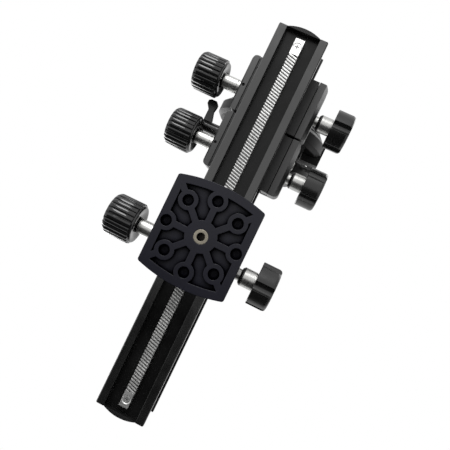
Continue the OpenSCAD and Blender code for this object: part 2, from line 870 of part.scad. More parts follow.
module tripod_block() {
    color([0.09, 0.09, 0.1])
    difference() {
        on_lower()
            grip_body(block_x0, block_l, block_h, block_axis_x, 0, grip_edge);
        cylinder(h = tripod_bush_l + seat_fit, d = bush_d + 2 * seat_fit);
    }
}

// Outline of the pad: a square whose two ends bulge as arcs
module pad_outline(inset) {
    half = pad_w / 2 - inset;
    arc_r = (pad_w * pad_w / 4 + pad_bulge * pad_bulge) / (2 * pad_bulge);
    r = pad_w / 36;
    swing_r = arc_r - inset;
    centre_x = arc_r - pad_w / 2 - pad_bulge;
    corner_x = sqrt(pow(swing_r - r, 2) - pow(half - r, 2)) - centre_x;
    intersection() {
        translate([centre_x, 0])
            circle(r = swing_r, $fn = 240);
        translate([-centre_x, 0])
            circle(r = swing_r, $fn = 240);
        union() {
            square([2 * (half + pad_bulge), 2 * (half - r) * swing_r / (swing_r - r)], center = true);
            square([2 * corner_x, 2 * half], center = true);
            for (x = [-1, 1], y = [-1, 1])
                translate([x * corner_x, y * (half - r)])
                    circle(r = r);
        }
    }
}

pad_border = 5.4;
pad_hub_d = 21;
pad_rib_w = 4.2;
pad_ring_d = 13;
pad_pocket_depth = 2.6;

module foot_pad() {
    color([0.07, 0.07, 0.085])
    difference() {
        linear_extrude(height = pad_t)
            pad_outline(0);
        difference() {
            translate([0, 0, -cut])
                linear_extrude(height = cut + pad_recess)
                    pad_outline(pad_border);
            cylinder(h = pad_t, d = pad_hub_d);
            for (i = [0 : 7])
                rotate([0, 0, i * 45]) {
                    translate([0, -pad_rib_w / 2, 0])
                        cube([pad_w, pad_rib_w, pad_t]);
                    translate([pad_pocket_r, 0, 0])
                        cylinder(h = pad_t, d = pad_ring_d);
                }
        }
        for (i = [0 : 7])
            rotate([0, 0, i * 45])
                translate([pad_pocket_r, 0, -cut])
                    cylinder(h = cut + pad_pocket_depth, d = pad_pocket_d);
        translate([0, 0, -cut])
            cylinder(h = pad_t + 2 * cut, d = bush_d + 2 * seat_fit);
    }
}

module tripod_bush() {
    color([0.75, 0.72, 0.66])
    difference() {
        cylinder(h = tripod_bush_l, d = bush_d);
        translate([0, 0, -cut])
            cylinder(h = tripod_hole_l + cut, d = tripod_hole_d);
    }
}

module block_gib() {
    color([0.1, 0.1, 0.1])
        on_lower()
            gib(block_x0, block_l, block_axis_x);
}

module block_sleeve() {
    color([0.8, 0.8, 0.8])
        on_lower()
            sleeve(block_axis_x);
}

module block_screws() {
    color([0.3, 0.3, 0.3])
        on_lower()
            grip_screws(block_axis_x);
}

module block_pinion() {
    color([0.6, 0.6, 0.6])
        pinion(block_axis_x, rail_mid_z - axis_h, -1);
}

module block_focus_knob() {
    color([0.07, 0.07, 0.07])
        focus_knob(block_axis_x, rail_mid_z - axis_h);
}

module block_jaw() {
    color([0.12, 0.12, 0.12])
        on_lower()
            jaw(block_x0, block_l);
}

module block_lock_stud() {
    color([0.8, 0.8, 0.8])
        lock_stud(block_axis_x, rail_mid_z - axis_h, jaw_wall_y, block_neck_l);
}

module block_lock_collar() {
    color([0.05, 0.05, 0.05])
        lock_collar(block_axis_x, rail_mid_z - axis_h, jaw_wall_y, block_neck_l);
}

module block_lock_star() {
    color([0.07, 0.07, 0.07])
        lock_star(block_axis_x, rail_mid_z - axis_h, jaw_wall_y, block_neck_l, star_turn);
}

// Carriage groups: both carriages are alike

// Tapped holes in a carriage's top, at the given places
module tapped_top(places, d) {
    for (p = places)
        translate([p[0], p[1], carriage_top_z - 2 * d])
            cylinder(h = 2 * d + cut, d = d);
}

fixing_d = 3;
fixing_head_d = 5.6;
fixing_head_t = 1.8;
bracket_x0 = tilt_x - ear_r - bracket_t;
bracket_x1 = front_x0 + carriage_l - room;
bracket_screw_places = [for (x = [bracket_x0 + fixing_head_d, bracket_x1 - fixing_head_d],
                             y = [-1, 1]) [x, y * (ear_in - fixing_head_d)]];
rear_base_x0 = rear_x0 + room;
rear_base_x1 = rear_frame_x1 + 3 * fixing_head_d;
rear_screw_places = [for (y = [-1, 1]) [rear_base_x1 - fixing_head_d, y * rear_foot_w / 3]];
foot_screw_places = [for (y = [-1, 1]) [(rear_frame_x0 + rear_frame_x1) / 2, y * rear_foot_w / 3]];
foot_screw_l = rear_base_t * 2.8;

module front_carriage() {
    color([0.16, 0.16, 0.165])
    difference() {
        on_upper()
            grip_body(front_x0, carriage_l, carriage_h, front_axis_x, flare, flare_h);
        tapped_top(bracket_screw_places, fixing_d + 2 * seat_fit);
    }
}

module rear_carriage() {
    color([0.16, 0.16, 0.165])
    difference() {
        on_upper()
            grip_body(rear_x0, carriage_l, carriage_h, rear_axis_x, flare, flare_h);
        tapped_top(rear_screw_places, fixing_d + 2 * seat_fit);
    }
}

module front_gib() {
    color([0.1, 0.1, 0.1])
        on_upper()
            gib(front_x0, carriage_l, front_axis_x);
}

module rear_gib() {
    color([0.1, 0.1, 0.1])
        on_upper()
            gib(rear_x0, carriage_l, rear_axis_x);
}

module front_sleeve() {
    color([0.8, 0.8, 0.8])
        on_upper()
            sleeve(front_axis_x);
}

module rear_sleeve() {
    color([0.8, 0.8, 0.8])
        on_upper()
            sleeve(rear_axis_x);
}

module front_screws() {
    color([0.3, 0.3, 0.3])
        on_upper()
            grip_screws(front_axis_x);
}

module rear_screws() {
    color([0.3, 0.3, 0.3])
        on_upper()
            grip_screws(rear_axis_x);
}

module front_pinion() {
    color([0.6, 0.6, 0.6])
        pinion(front_axis_x, rail_mid_z + axis_h, 1);
}

module rear_pinion() {
    color([0.6, 0.6, 0.6])
        pinion(rear_axis_x, rail_mid_z + axis_h, 1);
}

module front_focus_knob() {
    color([0.07, 0.07, 0.07])
        focus_knob(front_axis_x, rail_mid_z + axis_h);
}

module rear_focus_knob() {
    color([0.07, 0.07, 0.07])
        focus_knob(rear_axis_x, rail_mid_z + axis_h);
}

module front_jaw() {
    color([0.12, 0.12, 0.12])
        on_upper()
            jaw(front_x0, carriage_l);
}

module rear_jaw() {
    color([0.12, 0.12, 0.12])
        on_upper()
            jaw(rear_x0, carriage_l);
}

module front_lock_stud() {
    color([0.8, 0.8, 0.8])
        lock_stud(front_axis_x, rail_mid_z + axis_h, jaw_wall_y + flare, neck_l);
}

module rear_lock_stud() {
    color([0.8, 0.8, 0.8])
        lock_stud(rear_axis_x, rail_mid_z + axis_h, jaw_wall_y + flare, neck_l);
}

module front_lock_collar() {
    color([0.05, 0.05, 0.05])
        lock_collar(front_axis_x, rail_mid_z + axis_h, jaw_wall_y + flare, neck_l);
}

module rear_lock_collar() {
    color([0.05, 0.05, 0.05])
        lock_collar(rear_axis_x, rail_mid_z + axis_h, jaw_wall_y + flare, neck_l);
}

module front_lock_star() {
    color([0.07, 0.07, 0.07])
        lock_star(front_axis_x, rail_mid_z + axis_h, jaw_wall_y + flare, neck_l, front_star_turn);
}

module rear_lock_star() {
    color([0.07, 0.07, 0.07])
        lock_star(rear_axis_x, rail_mid_z + axis_h, jaw_wall_y + flare, neck_l, star_turn);
}

// Fixing screws with a hexagon socket, their heads' undersides at height z
module fixing_screws(places, z) {
    for (p = places)
        translate([p[0], p[1], z])
            difference() {
                union() {
                    cylinder(h = fixing_head_t, d = fixing_head_d);
                    translate([0, 0, carriage_top_z - z - fixing_d])
                        cylinder(h = z - carriage_top_z + fixing_d + seat_fit, d = fixing_d);
                }
                translate([0, 0, fixing_head_t / 2])
                    cylinder(h = fixing_head_t, d = fixing_head_d / 2, $fn = 6);
            }
}

// Front standard: bracket with two ears, tilt bolt, lever and the tilting frame

module tilt_bracket() {
    color([0.13, 0.13, 0.135])
    difference() {
        union() {
            round_block(bracket_x0, bracket_x1, -ear_out, ear_out,
                        carriage_top_z + seat_fit, bracket_z, bracket_t / 2);
            for (side = [-1, 1])
                translate([0, side * (ear_in + ear_out) / 2, 0]) {
                    translate([tilt_x, 0, (carriage_top_z + tilt_z + bracket_t / 2) / 2])
                        cube([2 * ear_r, ear_out - ear_in, tilt_z - carriage_top_z - bracket_t / 2],
                             center = true);
                    rod_y(tilt_x, tilt_z, (ear_in - ear_out) / 2, (ear_out - ear_in) / 2,
                          2 * ear_r);
                }
        }
        rod_y(tilt_x, tilt_z, -ear_out - cut, ear_out + cut, tilt_bolt_d + 2 * slide_fit);
        for (p = bracket_screw_places)
            translate([p[0], p[1], bracket_z - fixing_head_t]) {
                cylinder(h = fixing_head_t + cut, d = fixing_head_d + 2 * slide_fit);
                translate([0, 0, -bracket_t])
                    cylinder(h = 2 * bracket_t, d = fixing_d + 2 * slide_fit);
            }
    }
}

module bracket_screws() {
    color([0.3, 0.3, 0.3])
        fixing_screws(bracket_screw_places, bracket_z - fixing_head_t + seat_fit);
}

lever_hub_d = 9;
lever_hub_out = 47;
nut_d = 6.8;
nut_out = 31.2;

module tilt_bolt() {
    color([0.8, 0.8, 0.8]) {
        rod_y(tilt_x, tilt_z, lever_hub_d / 2 - lever_hub_out, ear_out + room, tilt_bolt_d);
        rod_y(tilt_x, tilt_z, ear_out + room, nut_out - room, nut_d);
        rod_y(tilt_x, tilt_z, nut_out - 2 * room, nut_out, nut_d - 4 * room);
    }
}

// Lever: a hub on the bolt and a waisted arm that widens into a paddle
module clamp_lever() {
    arm_l = 20.5;
    arm_w = 6.6;
    waist_w = 4.4;
    paddle_w = 8;
    paddle_l = 8;
    lean = 1.4;
    y0 = -lever_hub_out;
    color([0.05, 0.05, 0.05])
    difference() {
        union() {
            rod_y(tilt_x, tilt_z, y0, -ear_out - room, lever_hub_d);
            translate([tilt_x, y0, tilt_z - waist_w / 2])
                linear_extrude(height = waist_w)
                    polygon([
                        [0, 0], [arm_l - paddle_l, waist_w / 3 - lean], [arm_l - paddle_l / 2, -2 * lean],
                        [arm_l - paddle_l / 6, -2 * lean], [arm_l, paddle_w / 4 - 2 * lean],
                        [arm_l, paddle_w * 0.8 - 2 * lean],
                        [arm_l - paddle_l / 4, paddle_w - 2 * lean],
                        [arm_l - paddle_l / 2, paddle_w - 2 * lean],
                        [arm_l - paddle_l, waist_w + waist_w / 3 - lean], [lever_hub_d / 2, arm_w],
                        [0, arm_w]
                    ]);
        }
        rod_y(tilt_x, tilt_z, lever_hub_d / 2 - lever_hub_out - seat_fit, 0,
              tilt_bolt_d + 2 * seat_fit);
    }
}

// Ring of a standard from x0 to x1 with chamfered outer edges
module frame_ring(x0, x1) {
    r = frame_d / 2;
    turned_x()
        polygon([
            [0, x0], [r - frame_chamfer, x0], [r, x0 + frame_chamfer], [r, x1 - frame_chamfer],
            [r - frame_chamfer, x1], [0, x1]
        ]);
}

module front_frame() {
    color([0.2, 0.2, 0.2])
    difference() {
        union() {
            difference() {
                frame_ring(front_frame_x0, front_frame_x1);
                span([front_frame_x0 - cut, -frame_d, 0], [front_frame_x1 + cut, frame_d, tilt_z]);
            }
            rod_y(tilt_x, tilt_z, room - ear_in, ear_in - room, 2 * barrel_r);
        }
        for (side = [-1, 1])
            translate([0, side * (ear_in - room + frame_d / 4), 0])
                rod_y(tilt_x, tilt_z, -frame_d / 4, frame_d / 4, 2 * (ear_r + room));
        rod_y(tilt_x, tilt_z, -ear_in, ear_in, tilt_bolt_d + 2 * slide_fit);
        square_x(front_web_x, front_frame_x1 + cut, recess_w, recess_cut);
        disc_x(front_frame_x0 - cut, front_web_x + cut, 2 * lens_spigot_r + 2 * seat_fit);
        rod_y(front_frame_x1 - frame_t / 4, thumb_z, 0, frame_d / 2, thumb_shank_d + 2 * slide_fit);
        for (p = lens_screw_places)
            translate([front_frame_x0 - cut, p[0], optical_z + p[1]])
                rotate([0, 90, 0])
                    cylinder(h = cut + frame_web * 0.8, d = lens_screw_d + 2 * seat_fit);
    }
}

ring_flange_t = 4;
lens_screw_d = 2;
lens_screw_head_d = 3.8;
lens_screw_pcd = lens_ring_d - 2 * ring_flange_t;
lens_screw_places = [for (i = [0 : 3]) lens_screw_pcd / 2 * [cos(45 + i * 90), sin(45 + i * 90)]];
lens_ring_x0 = front_frame_x0 - lens_ring_l;

// Lens ring: a wide flange on the frame and a narrower neck with the lens thread
module lens_ring() {
    flange_x = front_frame_x0 - ring_flange_t;
    r = lens_ring_d / 2;
    neck_r = lens_thread_d / 2 + ring_flange_t;
    color([0.1, 0.1, 0.1])
    difference() {
        turned_x()
            polygon([
                [lens_thread_d / 2, lens_ring_x0 + room], [lens_thread_d / 2 + room, lens_ring_x0],
                [neck_r - room, lens_ring_x0], [neck_r, lens_ring_x0 + room], [neck_r, flange_x],
                [r - room, flange_x], [r, flange_x + room], [r, front_frame_x0 - seat_fit],
                [lens_spigot_r, front_frame_x0 - seat_fit], [lens_spigot_r, front_web_x],
                [lens_thread_d / 2, front_web_x]
            ]);
        for (p = lens_screw_places)
            translate([flange_x - cut, p[0], optical_z + p[1]])
                rotate([0, 90, 0]) {
                    cylinder(h = ring_flange_t + 2 * cut, d = lens_screw_d + 2 * slide_fit);
                    cylinder(h = cut + lens_screw_d, d = lens_screw_head_d + 2 * slide_fit);
                }
    }
}

module lens_ring_screws() {
    flange_x = front_frame_x0 - ring_flange_t;
    color([0.6, 0.6, 0.6])
    for (p = lens_screw_places)
        translate([flange_x + room, p[0], optical_z + p[1]])
            rotate([0, 90, 0])
                difference() {
                    union() {
                        cylinder(h = lens_screw_d - room - seat_fit, d = lens_screw_head_d);
                        cylinder(h = ring_flange_t + frame_web * 0.6, d = lens_screw_d);
                    }
                    for (a = [0, 90])
                        rotate([0, 0, a])
                            cube([lens_screw_head_d * 0.6, lens_screw_head_d * 0.16, lens_screw_d],
                                 center = true);
                }
}

// Frame that the end of the bellows is glued to: a plate with a light rim round the folds
module bellows_frame(plate_x0, rim_x0, rim_x1) {
    w = recess_w - 4 * slide_fit;
    inner_w = w - 2 * bellows_rim_t;
    opening_w = bellows_w - 2 * fold_depth - 2 * cloth_t;
    difference() {
        square_x(min(plate_x0, rim_x0), max(plate_x0 + bellows_plate_t, rim_x1), w, recess_cut);
        square_x(rim_x0 - (plate_x0 < rim_x0 ? 0 : cut), rim_x1 + (plate_x0 < rim_x0 ? cut : 0),
                 inner_w, recess_cut);
        square_x(plate_x0 - cut, plate_x0 + bellows_plate_t + cut, opening_w, recess_cut / 2);
    }
}

rim_l = frame_t - frame_web - bellows_plate_t - room - slide_fit;
rear_rim_l = bellows_x1 + room - rear_frame_x0 - room;

module front_bellows_frame() {
    color([0.25, 0.25, 0.25])
        bellows_frame(front_web_x + slide_fit, front_web_x + slide_fit + bellows_plate_t,
                      front_web_x + slide_fit + bellows_plate_t + rim_l);
}

module rear_bellows_frame() {
    color([0.25, 0.25, 0.25])
        bellows_frame(bellows_x1 + room, bellows_x1 + room - rear_rim_l, bellows_x1 + room);
}

// Knurled thumb screw pointing along +Z, its shank ending at the origin
module thumb_screw(shank_l, head_l) {
    cylinder(h = shank_l + seat_fit, d = thumb_shank_d);
    translate([0, 0, shank_l])
        difference() {
            linear_extrude(height = head_l)
                ribbed_section(thumb_head_d, 14, thumb_head_d / 16);
            translate([0, 0, head_l - room])
                cylinder(h = cut, d = thumb_head_d * 0.6);
        }
}

module front_bellows_screw() {
    inner = recess_w - recess_cut - thumb_drop + thumb_shank_d / 2 + room;
    color([0.15, 0.15, 0.15])
        translate([front_frame_x1 - frame_t / 4, inner, thumb_z])
            rotate([-90, 0, 0])
                thumb_screw(front_thumb_y - inner, front_thumb_head_l);
}

module rear_bellows_screw() {
    color([0.15, 0.15, 0.15])
        translate([rear_frame_x0 + frame_t / 4, 0, optical_z + recess_w / 2 + room])
            thumb_screw((frame_d - recess_w) / 2 + room, top_thumb_head_l);
}

// Rear standard: frame with a foot plate, turning camera ring and its retaining ring

module rear_frame() {
    boss_in = 5.6;
    boss_w = 16;
    boss_deep = (frame_d - recess_w) / 2 - room;
    boss_out = 0.5;
    color([0.2, 0.2, 0.2])
    difference() {
        union() {
            frame_ring(rear_frame_x0, rear_frame_x1);
            span([rear_frame_x0 - boss_in, frame_d / 2 - boss_deep, optical_z - boss_w / 2],
                 [rear_frame_x1 - frame_chamfer, frame_d / 2 + boss_out, optical_z + boss_w / 2]);
        }
        square_x(rear_frame_x0 - cut, rear_web_x, recess_w, recess_cut);
        disc_x(rear_web_x - cut, rear_frame_x1 + cut, 2 * spigot_r + 2 * slide_fit);
        translate([rear_frame_x0 + frame_t / 4, 0, optical_z])
            cylinder(h = frame_d, d = thumb_shank_d + 2 * slide_fit);
        translate([rear_frame_x1 - frame_web / 2, 0, optical_z])
            rotate([-45, 0, 0])
                cylinder(h = frame_d, d = thumb_shank_d + 2 * slide_fit);
        for (p = foot_screw_places)
            translate([p[0], p[1], carriage_top_z])
                cylinder(h = foot_screw_l + room, d = fixing_d + 2 * seat_fit);
    }
}

// Foot: a saddle that the round frame is screwed to from below, and its base plate
module rear_foot() {
    z0 = carriage_top_z + seat_fit;
    color([0.18, 0.18, 0.18])
    difference() {
        union() {
            span([rear_frame_x0, -rear_foot_w / 2, z0],
                 [rear_frame_x1, rear_foot_w / 2, optical_z - frame_d * 0.446]);
            round_block(rear_base_x0, rear_base_x1, -rear_foot_w / 2, rear_foot_w / 2,
                        z0, carriage_top_z + rear_base_t, rear_base_r);
        }
        disc_x(rear_frame_x0 - cut, rear_frame_x1 + seat_fit, frame_d + 2 * seat_fit);
        for (p = rear_screw_places)
            translate([p[0], p[1], carriage_top_z - cut])
                cylinder(h = rear_base_t + 2 * cut, d = fixing_d + 2 * slide_fit);
        for (p = foot_screw_places)
            translate([p[0], p[1], z0 - cut]) {
                cylinder(h = cut + fixing_head_t + seat_fit, d = fixing_head_d + 2 * slide_fit);
                cylinder(h = foot_screw_l, d = fixing_d + 2 * slide_fit);
            }
    }
}

module foot_screws() {
    color([0.3, 0.3, 0.3])
    for (p = foot_screw_places)
        translate([p[0], p[1], carriage_top_z + 2 * seat_fit])
            difference() {
                union() {
                    cylinder(h = fixing_head_t - seat_fit, d = fixing_head_d);
                    cylinder(h = foot_screw_l - 2 * seat_fit, d = fixing_d);
                }
                translate([0, 0, -fixing_head_t / 2])
                    cylinder(h = fixing_head_t, d = fixing_head_d / 2, $fn = 6);
            }
}

module rear_frame_screws() {
    color([0.3, 0.3, 0.3])
        fixing_screws(rear_screw_places, carriage_top_z + rear_base_t + seat_fit);
}

bayonet_l = 3.4;
bayonet_t = 2.5;
bore_r = spigot_r - spigot_wall;
bayonet_r = bore_r + bayonet_t;
lug_t = 1.4;
lug_r = bayonet_r + lug_t;
lug_half_angle = 30;
ring_flutes = 36;
flute_d = 3;
retainer_r = spigot_r - retainer_step;
camera_x0 = rear_frame_x1 + slide_fit;
camera_x1 = camera_x0 + camera_ring_l;

// Camera ring: a tapered body, a spigot that turns in the frame and a three-lug bayonet
module camera_ring() {
    r = frame_d / 2 - camera_step;
    waist_r = r - camera_ring_l * 0.56;
    face_r = bayonet_r + 2 * bayonet_l;
    color([0.08, 0.08, 0.08])
    difference() {
        union() {
            turned_x()
                polygon([
                    [bore_r, rear_web_x - retainer_t], [retainer_r, rear_web_x - retainer_t],
                    [retainer_r, rear_web_x], [spigot_r, rear_web_x], [spigot_r, camera_x0],
                    [r - room, camera_x0], [r, camera_x0 + room], [r, camera_x0 + lug_t],
                    [waist_r, camera_x1 - 2 * lug_t], [face_r, camera_x1],
                    [lug_r + room, camera_x1], [lug_r + room, camera_x1 - room],
                    [bayonet_r, camera_x1 - room],
                    [bayonet_r, camera_x1 + bayonet_l], [bore_r, camera_x1 + bayonet_l]
                ]);
            difference() {
                disc_x(camera_x1 + bayonet_l - lug_t, camera_x1 + bayonet_l, 2 * lug_r);
                disc_x(camera_x1, camera_x1 + bayonet_l + cut, 2 * bayonet_r - 2 * room);
                for (i = [0 : 2])
                    translate([camera_x1, 0, optical_z])
                        rotate([i * 120, 0, 0])
                            linear_wedge(bayonet_l + cut, frame_d / 2, lug_half_angle);
            }
        }
        for (i = [0 : ring_flutes - 1])
            translate([camera_x0 + 2 * lug_t, 0, optical_z])
                rotate([i * 360 / ring_flutes, 0, 0])
                    translate([0, 0, (r + waist_r) / 2 + flute_d * 0.28])
                        rotate([0, 90, 0])
                            cylinder(h = camera_ring_l, d = flute_d, $fn = 24);
    }
}

// A wedge of half-angle a about X, pointing along +Z
module linear_wedge(l, r, a) {
    rotate([90, 0, 90])
        linear_extrude(height = l)
            polygon([[0, 0], [r * sin(a), r * cos(a)], [0, r], [-r * sin(a), r * cos(a)]]);
}

module retaining_ring() {
    color([0.6, 0.6, 0.6])
        turned_x()
            polygon([
                [retainer_r + seat_fit, rear_web_x - retainer_t],
                [(recess_w - retainer_step) / 2, rear_web_x - retainer_t],
                [(recess_w - retainer_step) / 2, rear_web_x - slide_fit],
                [retainer_r + seat_fit, rear_web_x - slide_fit]
            ]);
}

module ring_lock_screw() {
    color([0.15, 0.15, 0.15])
        translate([rear_frame_x1 - frame_web / 2, 0, optical_z])
            rotate([-45, 0, 0])
                translate([0, 0, spigot_r + slide_fit])
                    thumb_screw(frame_d / 2 - spigot_r + room, ring_thumb_head_l);
}

// Bellows: a folded tube of square section, drawn together

fold_pitch = (bellows_x1 - bellows_x0) / folds;
ring_count = 2 * folds + 1;

// Points of one ring of the folded cloth, seen along the optical axis
function fold_ring(i, w) = [
    for (p = cut_square(w, recess_cut * w / recess_w))
        [bellows_x0 + i * fold_pitch / 2, p[0], optical_z + p[1]]
];

function fold_w(i) = bellows_w - (i % 2 == 0 ? 2 * fold_depth : 0);

module bellows() {
    points = [
        for (i = [0 : ring_count - 1]) each fold_ring(i, fold_w(i)),
        for (i = [0 : ring_count - 1]) each fold_ring(i, fold_w(i) - 2 * cloth_t)
    ];
    inner = 8 * ring_count;
    last = 8 * (ring_count - 1);
    color([0.04, 0.04, 0.045])
        polyhedron(points, [
            for (i = [0 : ring_count - 2], k = [0 : 7])
                let (a = 8 * i + k, b = 8 * i + (k + 1) % 8)
                    each [[a, b, b + 8], [a, b + 8, a + 8],
                          [inner + b, inner + a, inner + a + 8],
                          [inner + b, inner + a + 8, inner + b + 8]],
            for (k = [0 : 7])
                let (a = k, b = (k + 1) % 8)
                    each [[b, a, inner + a], [b, inner + a, inner + b],
                          [last + a, last + b, inner + last + b],
                          [last + a, inner + last + b, inner + last + a]]
        ]);
}

tripod_block();
foot_pad();
tripod_bush();
block_gib();
block_sleeve();
block_screws();
rail();
lower_rack();
upper_rack();
rack_screws();
front_end_plug();
rear_end_plug();
end_plug_screws();
scale_strip();
block_pinion();
block_focus_knob();
block_jaw();
block_lock_stud();
block_lock_collar();
block_lock_star();
front_carriage();
front_gib();
front_sleeve();
front_screws();
front_pinion();
front_focus_knob();
front_jaw();
front_lock_stud();
front_lock_collar();
front_lock_star();
tilt_bracket();
bracket_screws();
tilt_bolt();
clamp_lever();
rear_carriage();
rear_gib();
rear_sleeve();
rear_screws();
rear_pinion();
rear_focus_knob();
rear_jaw();
rear_lock_stud();
rear_lock_collar();
rear_lock_star();
front_frame();
lens_ring();
lens_ring_screws();
front_bellows_frame();
front_bellows_screw();
rear_frame();
rear_foot();
foot_screws();
rear_frame_screws();
rear_bellows_frame();
rear_bellows_screw();
camera_ring();
retaining_ring();
ring_lock_screw();
bellows();
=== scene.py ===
import math

import bpy
from mathutils import Euler, Matrix, Vector


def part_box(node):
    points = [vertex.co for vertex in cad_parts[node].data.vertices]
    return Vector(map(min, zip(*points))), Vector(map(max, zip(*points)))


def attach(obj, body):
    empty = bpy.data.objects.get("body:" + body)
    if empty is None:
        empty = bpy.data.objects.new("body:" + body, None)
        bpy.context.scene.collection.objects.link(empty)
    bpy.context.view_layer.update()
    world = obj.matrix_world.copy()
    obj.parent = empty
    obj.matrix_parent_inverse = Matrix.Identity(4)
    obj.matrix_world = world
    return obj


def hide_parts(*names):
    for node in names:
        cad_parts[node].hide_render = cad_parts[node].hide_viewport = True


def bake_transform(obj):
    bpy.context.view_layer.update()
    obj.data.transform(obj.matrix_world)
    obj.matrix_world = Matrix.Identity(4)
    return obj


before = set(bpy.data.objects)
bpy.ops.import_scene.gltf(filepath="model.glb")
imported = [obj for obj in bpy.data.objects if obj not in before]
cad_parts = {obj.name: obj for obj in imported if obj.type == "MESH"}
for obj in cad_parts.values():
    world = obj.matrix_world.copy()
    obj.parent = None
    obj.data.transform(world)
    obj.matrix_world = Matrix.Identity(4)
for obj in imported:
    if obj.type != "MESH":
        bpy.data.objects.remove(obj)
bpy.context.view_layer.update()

# The camera stands below the part and looks up at its foot pad, as the photograph does:
# a 36.5 mm lens on a 36 mm frame, 281 mm in front of the pad's face.
photo_size = 450
focal_pixels = 456.48
sensor_mm = 36.0
nearest_seen = 0.01
eye = Vector((0.011194, 0.039429, -0.280579))
camera_turn = Euler((math.radians(-177.0458), math.radians(-5.1384), math.radians(64.0437)))

camera_data = bpy.data.cameras.new("camera")
camera_data.sensor_width = sensor_mm
camera_data.lens = sensor_mm * focal_pixels / photo_size
camera_data.clip_start = nearest_seen
camera = bpy.data.objects.new("camera", camera_data)
bpy.context.scene.collection.objects.link(camera)
camera.matrix_world = Matrix.Translation(eye) @ camera_turn.to_matrix().to_4x4()
bpy.context.scene.camera = camera
bpy.context.scene.view_settings.view_transform = "Standard"


# The rail is one black anodised extrusion. Its finish has fine streaks along it from the
# die and a slightly uneven sheen, and the channel is duller than the lands beside it.
def new_finish(name):
    material = bpy.data.materials.new(name)
    material.use_nodes = True
    tree = material.node_tree
    shader = tree.nodes["Principled BSDF"]
    place = tree.nodes.new("ShaderNodeTexCoord")
    return material, tree, shader, place


def noise(tree, place, scale, detail, stretch=(1, 1, 1)):
    mapping = tree.nodes.new("ShaderNodeMapping")
    mapping.inputs["Scale"].default_value = stretch
    texture = tree.nodes.new("ShaderNodeTexNoise")
    texture.inputs["Scale"].default_value = scale
    texture.inputs["Detail"].default_value = detail
    tree.links.new(place.outputs["Object"], mapping.inputs["Vector"])
    tree.links.new(mapping.outputs["Vector"], texture.inputs["Vector"])
    return texture.outputs["Fac"]


def spread(tree, value, low, high, darkest=0.3, lightest=0.7):
    between = tree.nodes.new("ShaderNodeMapRange")
    between.inputs["From Min"].default_value = darkest
    between.inputs["From Max"].default_value = lightest
    between.inputs["To Min"].default_value = low
    between.inputs["To Max"].default_value = high
    tree.links.new(value, between.inputs["Value"])
    return between.outputs["Result"]


def two_tone(tree, value, first, second):
    ramp = tree.nodes.new("ShaderNodeValToRGB")
    ramp.color_ramp.elements[0].position = 0.3
    ramp.color_ramp.elements[0].color = (*first, 1)
    ramp.color_ramp.elements[1].position = 0.7
    ramp.color_ramp.elements[1].color = (*second, 1)
    tree.links.new(value, ramp.inputs["Fac"])
    return ramp.outputs["Color"]


def relief(tree, shader, value, depth, strength=1.0):
    bump = tree.nodes.new("ShaderNodeBump")
    bump.inputs["Strength"].default_value = strength
    bump.inputs["Distance"].default_value = depth
    tree.links.new(value, bump.inputs["Height"])
    if shader.inputs["Normal"].is_linked:
        before = shader.inputs["Normal"].links[0].from_socket
        tree.links.new(before, bump.inputs["Normal"])
    tree.links.new(bump.outputs["Normal"], shader.inputs["Normal"])


def softened_edges(tree, shader, radius):
    edge = tree.nodes.new("ShaderNodeBevel")
    edge.samples = 4
    edge.inputs["Radius"].default_value = radius
    tree.links.new(edge.outputs["Normal"], shader.inputs["Normal"])


def calculate(tree, operation, first, second=0, third=0):
    node = tree.nodes.new("ShaderNodeMath")
    node.operation = operation
    for socket, value in zip(node.inputs, (first, second, third)):
        if isinstance(value, (int, float)):
            socket.default_value = value
        else:
            tree.links.new(value, socket)
    return node.outputs["Value"]


def coordinates(tree, place):
    parts = tree.nodes.new("ShaderNodeSeparateXYZ")
    tree.links.new(place.outputs["Object"], parts.inputs["Vector"])
    return parts.outputs["X"], parts.outputs["Y"], parts.outputs["Z"]


def anodised(name, dark, light, sheen, grain=2600, stretch=(1, 1, 1), gloss=0.5, edge=0.0004):
    material, tree, shader, place = new_finish(name)
    softened_edges(tree, shader, edge)
    shade = noise(tree, place, scale=60, detail=4.0)
    fine = noise(tree, place, scale=grain, detail=2.0, stretch=stretch)
    tree.links.new(two_tone(tree, shade, dark, light), shader.inputs["Base Color"])
    tree.links.new(spread(tree, shade, sheen - 0.05, sheen + 0.05), shader.inputs["Roughness"])
    shader.inputs["Specular IOR Level"].default_value = gloss
    relief(tree, shader, fine, depth=0.00002, strength=0.35)
    return material


def give(material, *nodes):
    for node in nodes:
        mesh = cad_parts[node].data
        mesh.materials.clear()
        mesh.materials.append(material)


channel_half = 0.01205
channel_gloss, land_gloss = 0.22, 1.0
rail_black = anodised("rail_black", (0.006, 0.006, 0.006), (0.010, 0.010, 0.010), sheen=0.24,
                      grain=1500, stretch=(0.02, 1, 1), gloss=land_gloss)
tree = rail_black.node_tree
shader = tree.nodes["Principled BSDF"]
across = coordinates(tree, tree.nodes["Texture Coordinate"])[1]
off_centre = calculate(tree, "ABSOLUTE", across)
on_land = calculate(tree, "GREATER_THAN", off_centre, channel_half)
tree.links.new(spread(tree, on_land, channel_gloss, land_gloss, 0, 1),
               shader.inputs["Specular IOR Level"])
give(rail_black, "rail")


